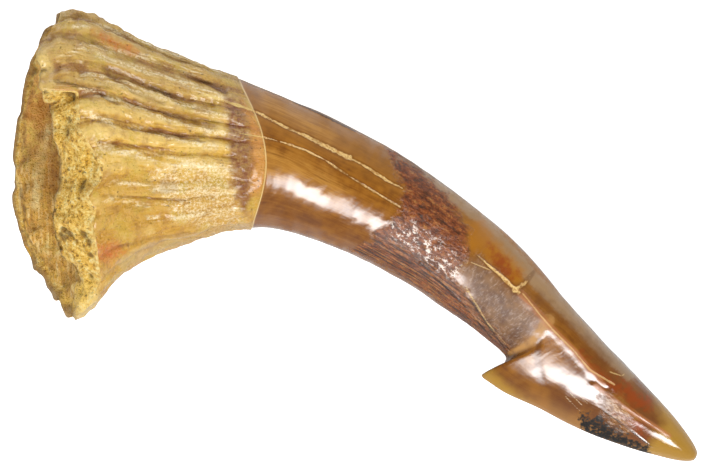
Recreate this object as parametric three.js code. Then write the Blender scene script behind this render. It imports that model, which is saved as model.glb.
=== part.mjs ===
// Fossil sawfish rostral barb: a curved, enamel-capped spine with one backward spur near its tip, grown on a flared
// and ribbed root whose base is hollow. It is one piece and lies on its broad side. Millimetres, +Z up, origin at the
// middle of its footprint on the surface that it rests on.
import * as THREE from "three";

// Driving dimensions, in millimetres.
const RIB_DEPTH = 0.5; // a strong root groove below the crests of the ribs beside it
const MARGIN_STEP = 0.14; // the root stands this far proud of the enamel at the cap margin
const MARGIN_BOW = 1.4; // the cap margin bows this far towards the tip on both broad faces
const LOWER_LIP_REACH = 4.07; // the lower lip of the base runs this far past the base corners
const LIP_KNOB_REACH = 1.6; // the unbroken stretch of the upper lip stands out this far
const STATION_LENGTH = 1.32; // distance between the stations next to the base
const CREST_SKEW = 0.3; // the blade's crest is this share of the half width towards the convex edge
const WALL_AT_CORNER = 2.0; // wall of the root at the two base corners
const HOLLOW_X = -16.2; // deepest point of the hollow in the base
const HOLLOW_Y = 4.9;
const RIB_DRIFT = 0.13; // radians that the ribs turn towards the concave edge between rim and margin
const LUMP_HEIGHT = 0.16; // slow swellings of the root

// Section stations from the tip to the base: the point on the convex edge, the point on the concave edge, then the
// lowest and highest level of the section. Whatever falls below the resting surface is worn flat against it.
const STATIONS = [
  [24.12, -15.22, 23.86, -15.8, 0.62, 1.3],
  [23.84, -14.63, 23.35, -15.86, 0.58, 1.62],
  [23.24, -13.72, 22.33, -15.72, 0.52, 2.0],
  [22.3, -12.53, 20.58, -15.26, 0.45, 2.45],
  [21.21, -11.31, 18.76, -14.7, 0.38, 2.85],
  [20.09, -10.15, 17.01, -14.07, 0.33, 3.2],
  [19.04, -9.03, 15.26, -12.99, 0.28, 3.48],
  [18.13, -8.12, 13.93, -11.66, 0.25, 3.66],
  [17.4, -7.35, 12.85, -10.61, 0.22, 3.8],
  [16.87, -6.76, 12.11, -9.91, 0.2, 3.88],
  [16.42, -6.27, 11.62, -9.42, 0.19, 3.94],
  [16.03, -5.85, 11.24, -9.07, 0.18, 3.99],
  [15.68, -5.46, 10.92, -8.79, 0.17, 4.04],
  [15.33, -5.08, 10.64, -8.51, 0.15, 4.1],
  [14.56, -4.2, 10.01, -7.84, 0.12, 4.22],
  [13.44, -2.8, 8.96, -7.0, 0.09, 4.42],
  [12.04, -1.19, 7.63, -5.99, 0.06, 4.66],
  [10.36, 0.42, 6.09, -4.97, 0.0, 4.92],
  [8.4, 2.03, 4.31, -3.71, -0.09, 5.16],
  [6.3, 3.61, 2.52, -2.7, -0.15, 5.4],
  [4.2, 5.08, 0.84, -1.79, -0.16, 5.68],
  [2.1, 6.34, -0.7, -1.09, -0.1, 5.98],
  [0.0, 7.46, -2.17, -0.53, 0.04, 6.32],
  [-2.03, 8.47, -3.54, -0.04, 0.25, 6.6],
  [-4.06, 9.31, -4.83, 0.32, 0.46, 6.88],
  [-6.16, 10.19, -6.02, 0.53, 0.68, 7.16],
  [-8.09, 10.98, -7.14, 0.53, 0.9, 7.5],
  [-9.73, 11.62, -8.54, 0.32, 1.05, 8.05],
  [-11.48, 12.46, -10.22, -0.11, 1.1, 8.8],
  [-13.23, 13.06, -12.0, -0.83, 1.0, 9.55],
  [-14.98, 13.82, -13.73, -1.4, 0.78, 10.3],
  [-16.52, 14.78, -15.16, -2.05, 0.4, 11.0],
  [-17.92, 15.45, -16.42, -3.04, -0.15, 11.65],
  [-19.25, 15.82, -17.54, -4.24, -0.65, 12.25],
  [-20.44, 15.76, -19.45, -5.72, -1.0, 12.55],
];
const MARGIN = 26; // station of the cap margin
const RIM = STATIONS.length - 1; // station of the base corners

// The spur: how far the concave edge is drawn out and back at the stations behind the notch.
const SPUR_FIRST = 6;
const SPUR_PULL = [
  [-0.42, -0.14],
  [-1.05, -0.42],
  [-2.0, -0.56],
  [-2.59, -0.42],
  [-2.68, -0.35],
  [-1.37, -0.35],
  [-0.42, -0.18],
];

// The broken upper lip: position across the base, from -1 at the concave corner, then how far the outer and the inner
// edge of the break are behind the line between the base corners.
const BREAK = [
  [-1.0, 1.4, -0.7],
  [-0.76, 1.3, -1.2],
  [-0.5, 1.2, -1.5],
  [-0.4, 1.4, -1.1],
  [-0.29, 0.95, -0.8],
  [-0.22, 2.0, -0.6],
  [-0.1, 2.3, -0.55],
  [0.0, 1.6, -0.63],
  [0.19, 0.8, -0.9],
  [0.29, 0.9, -1.0],
  [0.5, 0.87, -1.1],
];

// Crests of the root's ribs, in degrees round the section from the convex edge over the upper face, and how strong the
// grooves beside each are. The ribs fade over the lower half of the upper face.
const UPPER_RIBS = [
  [10, 0.8],
  [24, 1.0],
  [45, 1.0],
  [60, 1.1],
  [71, 1.1],
  [82, 0.9],
  [95, 0.6],
  [113, 0.4],
  [121, 0.3],
  [134, 0.25],
  [150, 0.3],
  [166, 0.6],
];
const LOWER_RIBS_START = 184;
const LOWER_RIB_PITCH = 15;
const LOWER_RIB_COUNT = 12;
const LOWER_RIB_STRENGTH = 0.8;
const RIB_ROWS = [
  ...UPPER_RIBS,
  ...Array.from({ length: LOWER_RIB_COUNT }, (_, i) => [
    LOWER_RIBS_START + i * LOWER_RIB_PITCH,
    LOWER_RIB_STRENGTH,
  ]),
];
const RIBS = RIB_ROWS.length;

// Facets: points round a ring for each rib, and rings between the stations.
const CAP_POINTS_PER_RIB = 2;
const ROOT_POINTS_PER_RIB = 4;
const CAP_RING_STEP = 2 / 3;
const ROOT_RING_STEP = 0.5;
const RIM_RINGS = [0.35, 0.7, 1];
const HOLLOW_RINGS = [0.1, 0.25, 0.45, 0.72];

// Eases from 0 at one end to 1 at the other, whichever end is larger.
function ease(from, to, value) {
  return THREE.MathUtils.smoothstep((value - from) / (to - from), 0, 1);
}

// A smooth curve through rows of three numbers, read by station.
function stationCurve(rows) {
  const curve = new THREE.CatmullRomCurve3(
    rows.map((row) => new THREE.Vector3(...row)),
    false,
    "catmullrom",
    0.5,
  );
  return (station) => curve.getPoint(station / (rows.length - 1));
}

const convexEdge = stationCurve(STATIONS.map(([x, y, , , low]) => [x, y, low]));
const concaveEdge = stationCurve(STATIONS.map(([, , x, y, , high]) => [x, y, high]));
const spurPull = stationCurve(
  STATIONS.map((_, i) => [...(SPUR_PULL[i - SPUR_FIRST] ?? [0, 0]), 0]),
);

// A value read from rows that start with rising positions, straight between them.
function readRows(rows, position, column) {
  const next = rows.findIndex((row) => row[0] >= position);
  if (next <= 0) return rows.at(next)[column];
  const [here, there] = [rows[next - 1], rows[next]];
  return THREE.MathUtils.mapLinear(position, here[0], there[0], here[column], there[column]);
}

// Angle round the section at a place counted in ribs.
function ribAngle(place) {
  const rib = Math.floor(place);
  const here = RIB_ROWS[rib % RIBS][0];
  const next = RIB_ROWS[(rib + 1) % RIBS][0] + (rib + 1 < RIBS ? 0 : 360);
  return THREE.MathUtils.degToRad(THREE.MathUtils.lerp(here, next, place - rib));
}

// How deep the groove at a place is: 0 on a rib, about 1 in a strong groove.
function groove(place) {
  const rib = Math.floor(place);
  const here = RIB_ROWS[rib % RIBS][1];
  const next = RIB_ROWS[(rib + 1) % RIBS][1];
  const strength = THREE.MathUtils.lerp(here, next, place - rib);
  return strength * (1 - Math.abs(Math.cos(Math.PI * place)) ** 0.8);
}

// How blunt the section is: 0.5 is an ellipse, more is a sharper edge, less is a boxier one.
function bluntness(station, across) {
  const blade = ease(16, 11, station);
  const concave = 0.5 + 0.32 * blade - 0.2 * ease(6, 0, station);
  const convex = 0.5 + 0.1 * blade;
  const boxy = 0.1 * ease(MARGIN, RIM, station);
  return THREE.MathUtils.lerp(concave, convex, ease(-0.9, 0.5, across)) - boxy;
}

// Ribs, slow swellings and the step at the cap margin, as one height above the plain section.
function relief(station, place) {
  const root = ease(MARGIN, MARGIN + 2, station);
  const lumps = Math.sin(0.9 * place + 1.3 * station) * Math.sin(0.55 * place - 0.8 * station);
  const step = station > MARGIN ? MARGIN_STEP * ease(MARGIN + 2, MARGIN, station) : 0;
  return root * (LUMP_HEIGHT * lumps - RIB_DEPTH * groove(place)) + step;
}

// How much of the upper lip is broken away at an angle round the section: 0 where it is intact.
function brokenShare(turn) {
  return ease(0.49, 0.44, Math.cos(turn)) * Math.min(1, 2.2 * Math.max(Math.sin(turn), 0));
}

// How many stations the upper lip is broken back.
function brokenBack(station, turn) {
  const bite = readRows(BREAK, Math.cos(turn), 1) * brokenShare(turn);
  return (bite / STATION_LENGTH) * ease(RIM - 5, RIM, station);
}

// How far a point of the root's end is moved along X: the lower lip and the intact end of the upper lip reach out.
function lipShift(station, across, rise) {
  if (rise < 0) {
    const fullness = 1 - 0.29 * across * (1 - across ** 2) + 0.45 * across ** 2;
    return -LOWER_LIP_REACH * fullness * rise ** 2 * ease(MARGIN + 1, RIM, station);
  }
  const knob = LIP_KNOB_REACH * ease(0.98, 0.8, across) * ease(0.44, 0.49, across);
  return -knob * ease(RIM - 4, RIM, station);
}

// A point of the outer surface, at a station of the unbroken root and a place counted in ribs.
function outerPoint(unbroken, place) {
  const turn = ribAngle(place);
  const station = unbroken - brokenBack(unbroken, turn);
  const angle = turn + RIB_DRIFT * Math.sin(turn) * (1 - ease(MARGIN, RIM, station));
  const across = Math.cos(angle);
  const rise = Math.sin(angle);
  const convex = convexEdge(station);
  const concave = concaveEdge(station);
  const pull = spurPull(station);
  const level = (convex.z + concave.z) / 2;
  const thick = (concave.z - convex.z) / 2;
  const half = new THREE.Vector2(convex.x - concave.x, convex.y - concave.y).divideScalar(2);
  const width = half.length();

  const normal = new THREE.Vector2(across / width, rise / thick).normalize();
  const height = relief(station, place);
  const blade = ease(17, 11, station) * ease(1, 5, station);
  const skew = CREST_SKEW * blade * Math.max(rise, 0) ** 2;
  const out = across + skew + (normal.x * height) / width;
  const drawn = ease(0.15, -1, across);
  const bow = ease(MARGIN - 4, MARGIN, station) * ease(MARGIN + 4, MARGIN, station);
  const along = MARGIN_BOW * Math.abs(rise) ** 2.6 * bow + lipShift(station, across, rise);
  const swell = Math.sign(rise) * thick * Math.abs(rise) ** (2 * bluntness(station, across));
  return new THREE.Vector3(
    (convex.x + concave.x) / 2 + half.x * out + pull.x * drawn + along,
    (convex.y + concave.y) / 2 + half.y * out + pull.y * drawn,
    Math.max(0, level + swell + normal.y * height),
  );
}

// The inner edge of the base's wall: the broken upper lip is thick and slants out, the lower lip is thin.
function innerEdge(place) {
  const outer = outerPoint(RIM, place);
  const angle = ribAngle(place);
  const across = Math.cos(angle);
  const rise = Math.sin(angle);
  const convex = convexEdge(RIM);
  const concave = concaveEdge(RIM);
  const middle = new THREE.Vector3(
    outer.x,
    (convex.y + concave.y) / 2,
    (convex.z + concave.z) / 2,
  );
  const width = (convex.y - concave.y) / 2;
  const wallRise = rise > 0 ? 0.4 : 0.16;
  const plain = outer.x + 0.2 + 0.7 * Math.max(-rise, 0);
  const slanted = concave.x + ((convex.x - concave.x) * (across + 1)) / 2 + readRows(BREAK, across, 2);
  const edge = outer.clone();
  edge.x = THREE.MathUtils.lerp(plain, slanted, brokenShare(angle));
  edge.y = THREE.MathUtils.lerp(outer.y, middle.y, WALL_AT_CORNER / width);
  edge.z = THREE.MathUtils.lerp(outer.z, middle.z, wallRise);
  return edge;
}

// A point of the base: over the rim while inward is under 1, then down into the hollow, which ends at 2.
function basePoint(inward, place) {
  const edge = innerEdge(place);
  if (inward <= 1) return outerPoint(RIM, place).lerp(edge, inward);
  const share = inward - 1;
  const deep = 1 - (1 - share) ** 3;
  return new THREE.Vector3(
    THREE.MathUtils.lerp(edge.x, HOLLOW_X, deep),
    THREE.MathUtils.lerp(edge.y, HOLLOW_Y, share),
    THREE.MathUtils.lerp(edge.z, hollowLevel(), share),
  );
}

function hollowLevel() {
  return (convexEdge(RIM).z + concaveEdge(RIM).z) / 2;
}

// A closed loop of points for a number of points per rib.
function ring(pointAt, pointsPerRib) {
  return Array.from({ length: RIBS * pointsPerRib }, (_, i) => pointAt(i / pointsPerRib));
}

// Every ring from the tip to the bottom of the hollow.
function barbRings() {
  const rings = [];
  for (let station = 0; station < MARGIN - CAP_RING_STEP / 2; station += CAP_RING_STEP) {
    rings.push(ring((place) => outerPoint(station, place), CAP_POINTS_PER_RIB));
  }
  rings.push(ring((place) => outerPoint(MARGIN, place), ROOT_POINTS_PER_RIB));
  const lip = 0.06; // the margin step is this short, in stations
  rings.push(ring((place) => outerPoint(MARGIN + lip, place), ROOT_POINTS_PER_RIB));
  for (let station = MARGIN + ROOT_RING_STEP; station <= RIM; station += ROOT_RING_STEP) {
    rings.push(ring((place) => outerPoint(station, place), ROOT_POINTS_PER_RIB));
  }
  for (const inward of [...RIM_RINGS, ...HOLLOW_RINGS.map((share) => 1 + share)]) {
    rings.push(ring((place) => basePoint(inward, place), ROOT_POINTS_PER_RIB));
  }
  return rings;
}

// Joins the rings and the two end points into one closed surface. A ring may have a whole number of times as many
// points as the ring before it.
function skin(rings, firstEnd, lastEnd) {
  const points = [firstEnd, ...rings.flat(), lastEnd];
  const faces = [];
  let start = 1;
  const first = rings[0].length;
  for (let i = 0; i < first; i += 1) faces.push(0, start + i, start + ((i + 1) % first));
  rings.slice(0, -1).forEach((here, r) => {
    const count = here.length;
    const ahead = rings[r + 1].length;
    const share = ahead / count;
    const next = start + count;
    for (let i = 0; i < count; i += 1) {
      const a = start + i;
      const b = start + ((i + 1) % count);
      for (let j = 0; j < share; j += 1) {
        const c = next + i * share + j;
        const d = next + ((i * share + j + 1) % ahead);
        const near = j < share / 2 ? a : b;
        faces.push(near, c, d);
        if (j === Math.ceil(share / 2) - 1) faces.push(a, d, b);
      }
    }
    start = next;
  });
  const last = rings.at(-1).length;
  const end = points.length - 1;
  for (let i = 0; i < last; i += 1) faces.push(end, start + ((i + 1) % last), start + i);
  const geometry = new THREE.BufferGeometry().setFromPoints(points);
  geometry.setIndex(faces);
  geometry.computeVertexNormals();
  return geometry;
}

function rostralBarb() {
  const tip = convexEdge(0).lerp(concaveEdge(0), 0.6);
  tip.x += 0.05;
  const hollowFloor = new THREE.Vector3(HOLLOW_X, HOLLOW_Y, hollowLevel());
  const geometry = skin(barbRings(), tip, hollowFloor);
  geometry.computeBoundingBox();
  const centre = geometry.boundingBox.getCenter(new THREE.Vector3());
  geometry.translate(-centre.x, -centre.y, -geometry.boundingBox.min.z);
  const enamel = new THREE.MeshStandardMaterial({ color: 0x9a6a34, roughness: 0.3, metalness: 0 });
  const mesh = new THREE.Mesh(geometry, enamel);
  mesh.name = "rostral_barb";
  return mesh;
}

const fossil = new THREE.Group();
fossil.add(rostralBarb());

export default fossil;
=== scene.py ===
"""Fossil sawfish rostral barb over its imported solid: a glossy enamel spine on a ribbed, hollow root."""

import logging
import math
from dataclasses import dataclass, field
from enum import Enum, IntEnum
from functools import cache, reduce

import bpy
import numpy as np
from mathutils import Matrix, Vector


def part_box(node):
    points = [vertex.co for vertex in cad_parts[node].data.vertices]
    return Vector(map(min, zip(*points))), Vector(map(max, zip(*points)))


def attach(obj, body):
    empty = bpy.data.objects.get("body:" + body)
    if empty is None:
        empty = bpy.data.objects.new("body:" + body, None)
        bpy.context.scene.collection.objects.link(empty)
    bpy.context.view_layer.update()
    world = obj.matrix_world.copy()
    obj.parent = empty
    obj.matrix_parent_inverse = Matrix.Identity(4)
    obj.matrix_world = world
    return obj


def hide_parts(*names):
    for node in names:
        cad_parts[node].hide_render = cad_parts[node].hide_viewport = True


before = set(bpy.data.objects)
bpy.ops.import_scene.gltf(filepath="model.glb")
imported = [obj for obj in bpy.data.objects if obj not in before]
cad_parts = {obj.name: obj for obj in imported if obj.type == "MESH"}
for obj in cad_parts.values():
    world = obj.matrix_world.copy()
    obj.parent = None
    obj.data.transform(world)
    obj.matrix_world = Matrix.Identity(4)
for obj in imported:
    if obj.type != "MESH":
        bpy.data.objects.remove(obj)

LOG = logging.getLogger("rostral_barb")
NODE = "rostral_barb"
BODY = "root"
MM = 0.001

# Marks are drawn on a plan grid seen from above, x to the right and y down.
PLAN_STEP = 0.07  # millimetres for one step of the grid
PLAN_CENTRE = (354.0, 235.5)  # the grid point over the origin of the drawn form
PLAN_SIZE = (708, 472)  # what the camera frames
LINE_LIMIT = 20.0  # half widths from a line, beyond which it is not felt
AREA_LIMIT = 3.0  # millimetres in or out of an outline, beyond which nothing changes

CELL_PRIMES = np.array([374761393, 668265263, 2147483647])
SEED_PRIME = 1274126177
MIXERS = ((13, 1103515245), (15, 12820163))

Array = np.ndarray
Point = tuple[float, float]
Colour = tuple[float, float, float, float]


def tone(red: int, green: int, blue: int) -> Colour:
    """A scene-linear colour from display values of 0 to 255.

    Args:
        red: Display red.
        green: Display green.
        blue: Display blue.

    Returns:
        The colour as red, green, blue and alpha.
    """
    linear = [((v / 255 + 0.055) / 1.055) ** 2.4 if v > 10 else v / 255 / 12.92 for v in (red, green, blue)]
    return (linear[0], linear[1], linear[2], 1.0)


def ease(start: float, end: float, value: Array) -> Array:
    """A smooth step from 0 at start to 1 at end, whichever is larger.

    Args:
        start: Value that gives 0.
        end: Value that gives 1.
        value: The values to ease.

    Returns:
        The eased values.
    """
    share = np.clip((value - start) / (end - start), 0.0, 1.0)
    return share * share * (3.0 - 2.0 * share)


def lattice(cell: Array, seed: int) -> Array:
    """A repeatable number from -1 to 1 for each whole-numbered cell.

    Args:
        cell: Cells as rows of three integers.
        seed: Which family of numbers to use.

    Returns:
        One number for each cell.
    """
    mixed = cell @ CELL_PRIMES + seed * SEED_PRIME
    for places, factor in MIXERS:
        mixed = (mixed ^ (mixed >> places)) * factor & 0x7FFFFFFF
    return (mixed & 0xFFFFFF) / float(0x7FFFFF) - 1.0


def swell(points: Array, size: float, seed: int, octaves: int = 3) -> Array:
    """Smooth layered noise.

    Args:
        points: Positions, three numbers in the last axis.
        size: Width of the largest swelling, in the units of points.
        seed: Which noise to use.
        octaves: How many layers, each half the size of the last.

    Returns:
        Values of about -1 to 1.
    """
    total = np.zeros(points.shape[:-1])
    weight = 1.0
    for layer in range(octaves):
        scaled = points / (size / 2**layer)
        base = np.floor(scaled).astype(np.int64)
        part = scaled - base
        part = part * part * (3.0 - 2.0 * part)
        value = np.zeros(points.shape[:-1])
        for corner in range(8):
            offset = np.array([corner & 1, corner >> 1 & 1, corner >> 2 & 1])
            share = np.prod(np.where(offset == 1, part, 1.0 - part), axis=-1)
            value += share * lattice(base + offset, seed + 17 * layer)
        total += weight * value
        weight *= 0.5
    return total


class Seed(IntEnum):
    """Which noise each kind of relief uses."""

    WAVE = 11
    GRANULE = 12
    RIPPLE = 13
    CREASE = 14
    RIB = 21
    BONE = 22
    CRUMB = 31
    PIT = 32
    HOLLOW = 41
    RIM = 51
    LIP = 52
    NICK = 61


class Face(Enum):
    """The broad face that a mark is on."""

    UPPER = 1.0
    UNDER = -1.0
    BOTH = 0.0

    def bar(self, facing: Array) -> Array:
        """How strongly a mark is kept off a place that faces away from it.

        Args:
            facing: The upward part of the surface's normal.

        Returns:
            0 on the mark's own face, up to 1 on the other.
        """
        if self is Face.BOTH:
            return np.zeros_like(facing)
        return ease(0.05, -0.25, facing * self.value)


@dataclass(frozen=True)
class Stroke:
    """A crack, groove or ridge drawn on the plan as a line, with widths in millimetres at its two ends."""

    points: tuple[Point, ...]
    start_width: float
    end_width: float
    face: Face = Face.UPPER

    def nearness(self, plan: Array) -> Array:
        """How far each place is from the line.

        Args:
            plan: Plan grid positions.

        Returns:
            The distance in half widths.
        """
        nodes = np.array(self.points)
        lengths = np.hypot(*np.diff(nodes, axis=0).T)
        starts = np.cumsum(lengths) - lengths
        ratios = []
        for a, b, start, length in zip(nodes[:-1], nodes[1:], starts, lengths):
            along = (b - a) / length
            reach = np.clip((plan - a) @ along, 0.0, length)
            gap = plan - a - reach[..., None] * along
            share = (start + reach) / lengths.sum()
            width = self.start_width + (self.end_width - self.start_width) * share
            ratios.append(np.hypot(gap[..., 0], gap[..., 1]) * PLAN_STEP / (width / 2))
        return np.min(ratios, axis=0)


@dataclass(frozen=True)
class Patch:
    """A stained area drawn on the plan as a closed outline."""

    outline: tuple[Point, ...]
    face: Face = Face.UPPER

    def depth(self, plan: Array) -> Array:
        """How deep inside the outline each place is.

        Args:
            plan: Plan grid positions.

        Returns:
            Millimetres from the outline, positive inside it.
        """
        nodes = np.array(self.outline)
        ahead = np.roll(nodes, -1, axis=0)
        nearest = np.full(plan.shape[:-1], 1e9)
        inside = np.zeros(plan.shape[:-1], bool)
        for a, b in zip(nodes, ahead):
            edge = b - a
            reach = np.clip((plan - a) @ edge / (edge @ edge), 0.0, 1.0)
            gap = plan - a - reach[..., None] * edge
            nearest = np.minimum(nearest, np.hypot(gap[..., 0], gap[..., 1]))
            crosses = (a[1] > plan[..., 1]) != (b[1] > plan[..., 1])
            run = edge[1] if abs(edge[1]) > 1e-9 else 1e-9
            inside ^= crosses & (plan[..., 0] < edge[0] * (plan[..., 1] - a[1]) / run + a[0])
        return np.where(inside, nearest, -nearest) * PLAN_STEP


@dataclass(frozen=True)
class Loft:
    """The barb's plain form: sections from the tip to the base, in millimetres, before the fine surface."""

    margin: float = 26.0
    rib_depth: float = 0.5
    margin_step: float = 0.14
    margin_bow: float = 1.4
    lower_lip_reach: float = 4.07
    lip_knob_reach: float = 1.6
    crest_skew: float = 0.3
    station_length: float = 1.32
    # How far the broken lip's outer and inner edges are from the base's chord, by position across it.
    break_across: tuple[float, ...] = (-1.0, -0.76, -0.5, -0.4, -0.29, -0.22, -0.1, 0.0, 0.19, 0.29, 0.5)
    break_outer: tuple[float, ...] = (1.4, 1.3, 1.2, 1.4, 0.95, 2.0, 2.3, 1.6, 0.8, 0.9, 0.87)
    break_inner: tuple[float, ...] = (-0.7, -1.2, -1.5, -1.1, -0.8, -0.6, -0.55, -0.63, -0.9, -1.0, -1.1)
    wall_at_corner: float = 2.0
    hollow: Point = (-16.2, 4.9)
    rib_drift: float = 0.13
    lump_height: float = 0.16
    upper_wall: float = 0.4
    lower_wall: float = 0.16
    blade_stations: Point = (17, 11)
    lip_start: Point = (0.44, 0.49)
    bite_sharpness: float = 2.2
    bow_power: float = 2.6
    groove_power: float = 0.8
    rim_slope: float = 0.7
    rim_set_back: float = 0.2
    # How blunt the section is: a plain ellipse, and what each region adds or takes off.
    ellipse: float = 0.5
    concave_edge: float = 0.32
    convex_edge: float = 0.1
    tip_rounding: float = 0.2
    root_squaring: float = 0.1
    lip_lean: float = 0.29
    lip_spread: float = 0.45
    # Each row: convex edge x and y, concave edge x and y, lowest and highest level.
    stations: tuple[tuple[float, ...], ...] = (
        (24.12, -15.22, 23.86, -15.8, 0.62, 1.3),
        (23.84, -14.63, 23.35, -15.86, 0.58, 1.62),
        (23.24, -13.72, 22.33, -15.72, 0.52, 2.0),
        (22.3, -12.53, 20.58, -15.26, 0.45, 2.45),
        (21.21, -11.31, 18.76, -14.7, 0.38, 2.85),
        (20.09, -10.15, 17.01, -14.07, 0.33, 3.2),
        (19.04, -9.03, 15.26, -12.99, 0.28, 3.48),
        (18.13, -8.12, 13.93, -11.66, 0.25, 3.66),
        (17.4, -7.35, 12.85, -10.61, 0.22, 3.8),
        (16.87, -6.76, 12.11, -9.91, 0.2, 3.88),
        (16.42, -6.27, 11.62, -9.42, 0.19, 3.94),
        (16.03, -5.85, 11.24, -9.07, 0.18, 3.99),
        (15.68, -5.46, 10.92, -8.79, 0.17, 4.04),
        (15.33, -5.08, 10.64, -8.51, 0.15, 4.1),
        (14.56, -4.2, 10.01, -7.84, 0.12, 4.22),
        (13.44, -2.8, 8.96, -7.0, 0.09, 4.42),
        (12.04, -1.19, 7.63, -5.99, 0.06, 4.66),
        (10.36, 0.42, 6.09, -4.97, 0.0, 4.92),
        (8.4, 2.03, 4.31, -3.71, -0.09, 5.16),
        (6.3, 3.61, 2.52, -2.7, -0.15, 5.4),
        (4.2, 5.08, 0.84, -1.79, -0.16, 5.68),
        (2.1, 6.34, -0.7, -1.09, -0.1, 5.98),
        (0.0, 7.46, -2.17, -0.53, 0.04, 6.32),
        (-2.03, 8.47, -3.54, -0.04, 0.25, 6.6),
        (-4.06, 9.31, -4.83, 0.32, 0.46, 6.88),
        (-6.16, 10.19, -6.02, 0.53, 0.68, 7.16),
        (-8.09, 10.98, -7.14, 0.53, 0.9, 7.5),
        (-9.73, 11.62, -8.54, 0.32, 1.05, 8.05),
        (-11.48, 12.46, -10.22, -0.11, 1.1, 8.8),
        (-13.23, 13.06, -12.0, -0.83, 1.0, 9.55),
        (-14.98, 13.82, -13.73, -1.4, 0.78, 10.3),
        (-16.52, 14.78, -15.16, -2.05, 0.4, 11.0),
        (-17.92, 15.45, -16.42, -3.04, -0.15, 11.65),
        (-19.25, 15.82, -17.54, -4.24, -0.65, 12.25),
        (-20.44, 15.76, -19.45, -5.72, -1.0, 12.55),
    )
    spur_first: int = 6
    spur_pull: tuple[Point, ...] = (
        (-0.42, -0.14),
        (-1.05, -0.42),
        (-2.0, -0.56),
        (-2.59, -0.42),
        (-2.68, -0.35),
        (-1.37, -0.35),
        (-0.42, -0.18),
    )
    upper_ribs: tuple[float, ...] = (10, 24, 45, 60, 71, 82, 95, 113, 121, 134, 150, 166)
    upper_strength: tuple[float, ...] = (0.8, 1.0, 1.0, 1.1, 1.1, 0.9, 0.6, 0.4, 0.3, 0.25, 0.3, 0.6)
    lower_strength: float = 0.8
    lower_ribs_start: float = 184.0
    lower_rib_pitch: float = 15.0
    lower_rib_count: int = 12

    @property
    def rim(self) -> float:
        """The station of the base corners."""
        return float(len(self.stations) - 1)

    @property
    def ribs(self) -> int:
        """How many ribs stand round the root."""
        return len(self.upper_ribs) + self.lower_rib_count

    def rows(self, station: Array) -> Array:
        """The smooth section values at each station.

        Args:
            station: Stations from the tip, in rows of the table.

        Returns:
            Convex x and y, concave x and y, low, high, and the spur's pull in x and y.
        """
        pull = np.zeros((len(self.stations), 2))
        pull[self.spur_first : self.spur_first + len(self.spur_pull)] = self.spur_pull
        table = np.hstack([np.array(self.stations), pull])
        padded = np.vstack([2 * table[0] - table[1], table, 2 * table[-1] - table[-2]])
        index = np.clip(np.floor(station).astype(int), 0, len(table) - 2)
        part = (station - index)[..., None]
        p0, p1, p2, p3 = (padded[index + k] for k in range(4))
        lead = (p2 - p0) / 2
        tail = (p3 - p1) / 2
        return (
            p1
            + lead * part
            + (3 * (p2 - p1) - 2 * lead - tail) * part**2
            + (2 * (p1 - p2) + lead + tail) * part**3
        )

    def rib_angle(self, place: Array) -> Array:
        """The angle round the section at a place counted in ribs.

        Args:
            place: Places round the section, one for each rib.

        Returns:
            Angles in radians from the convex edge over the upper face.
        """
        lower = [self.lower_ribs_start + i * self.lower_rib_pitch for i in range(self.lower_rib_count)]
        crests = [*self.upper_ribs, *lower]
        crests.append(crests[0] + 360.0)
        return np.radians(np.interp(place, np.arange(len(crests)), crests))

    def outer(self, station: Array, place: Array) -> tuple[Array, Array, Array]:
        """Points of the outer surface.

        Args:
            station: Stations from the tip.
            place: Places round the section, counted in ribs.

        Returns:
            The points, their position across the section from -1 at the concave edge to 1, and their rise.
        """
        turn = self.rib_angle(place)
        station = station - self.broken_back(station, turn)
        row = self.rows(station)
        angle = turn + self.rib_drift * np.sin(turn) * (1 - ease(self.margin, self.rim, station))
        across = np.cos(angle)
        rise = np.sin(angle)
        level = (row[..., 4] + row[..., 5]) / 2
        thick = (row[..., 5] - row[..., 4]) / 2
        half_x = (row[..., 0] - row[..., 2]) / 2
        half_y = (row[..., 1] - row[..., 3]) / 2
        width = np.hypot(half_x, half_y)
        normal_x = across / width
        normal_z = rise / thick
        size = np.hypot(normal_x, normal_z)
        normal_x = normal_x / size
        normal_z = normal_z / size
        height = self.relief(station, place)
        blade = ease(*self.blade_stations, station) * ease(1, 5, station)
        skew = self.crest_skew * blade * np.maximum(rise, 0) ** 2
        out = across + skew + normal_x * height / width
        drawn = ease(0.15, -1.0, across)
        bow = ease(self.margin - 4, self.margin, station) * ease(self.margin + 4, self.margin, station)
        along = self.margin_bow * np.abs(rise) ** self.bow_power * bow + self.lip_shift(station, across, rise)
        bulge = np.sign(rise) * thick * np.abs(rise) ** (2 * self.bluntness(station, across))
        x = (row[..., 0] + row[..., 2]) / 2 + half_x * out + row[..., 6] * drawn + along
        y = (row[..., 1] + row[..., 3]) / 2 + half_y * out + row[..., 7] * drawn
        z = np.maximum(0.0, level + bulge + normal_z * height)
        return np.stack([x, y, z], -1), across, rise

    def bluntness(self, station: Array, across: Array) -> Array:
        """How blunt the section is: 0.5 is an ellipse, more is a sharper edge.

        Args:
            station: Stations from the tip.
            across: Position across the section.

        Returns:
            The exponent of the section's curve.
        """
        blade = ease(16, 11, station)
        concave = self.ellipse + self.concave_edge * blade - self.tip_rounding * ease(6, 0, station)
        convex = self.ellipse + self.convex_edge * blade
        mixed = concave + (convex - concave) * ease(-0.9, 0.5, across)
        return mixed - self.root_squaring * ease(self.margin, self.rim, station)

    def relief(self, station: Array, place: Array) -> Array:
        """Ribs, slow swellings and the step at the cap margin.

        Args:
            station: Stations from the tip.
            place: Places round the section, counted in ribs.

        Returns:
            Heights above the plain section.
        """
        root = ease(self.margin, self.margin + 2, station)
        lumps = np.sin(0.9 * place + 1.3 * station) * np.sin(0.55 * place - 0.8 * station)
        step = (station > self.margin) * self.margin_step * ease(self.margin + 2, self.margin, station)
        return root * (self.lump_height * lumps - self.rib_depth * self.groove(place)) + step

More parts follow.
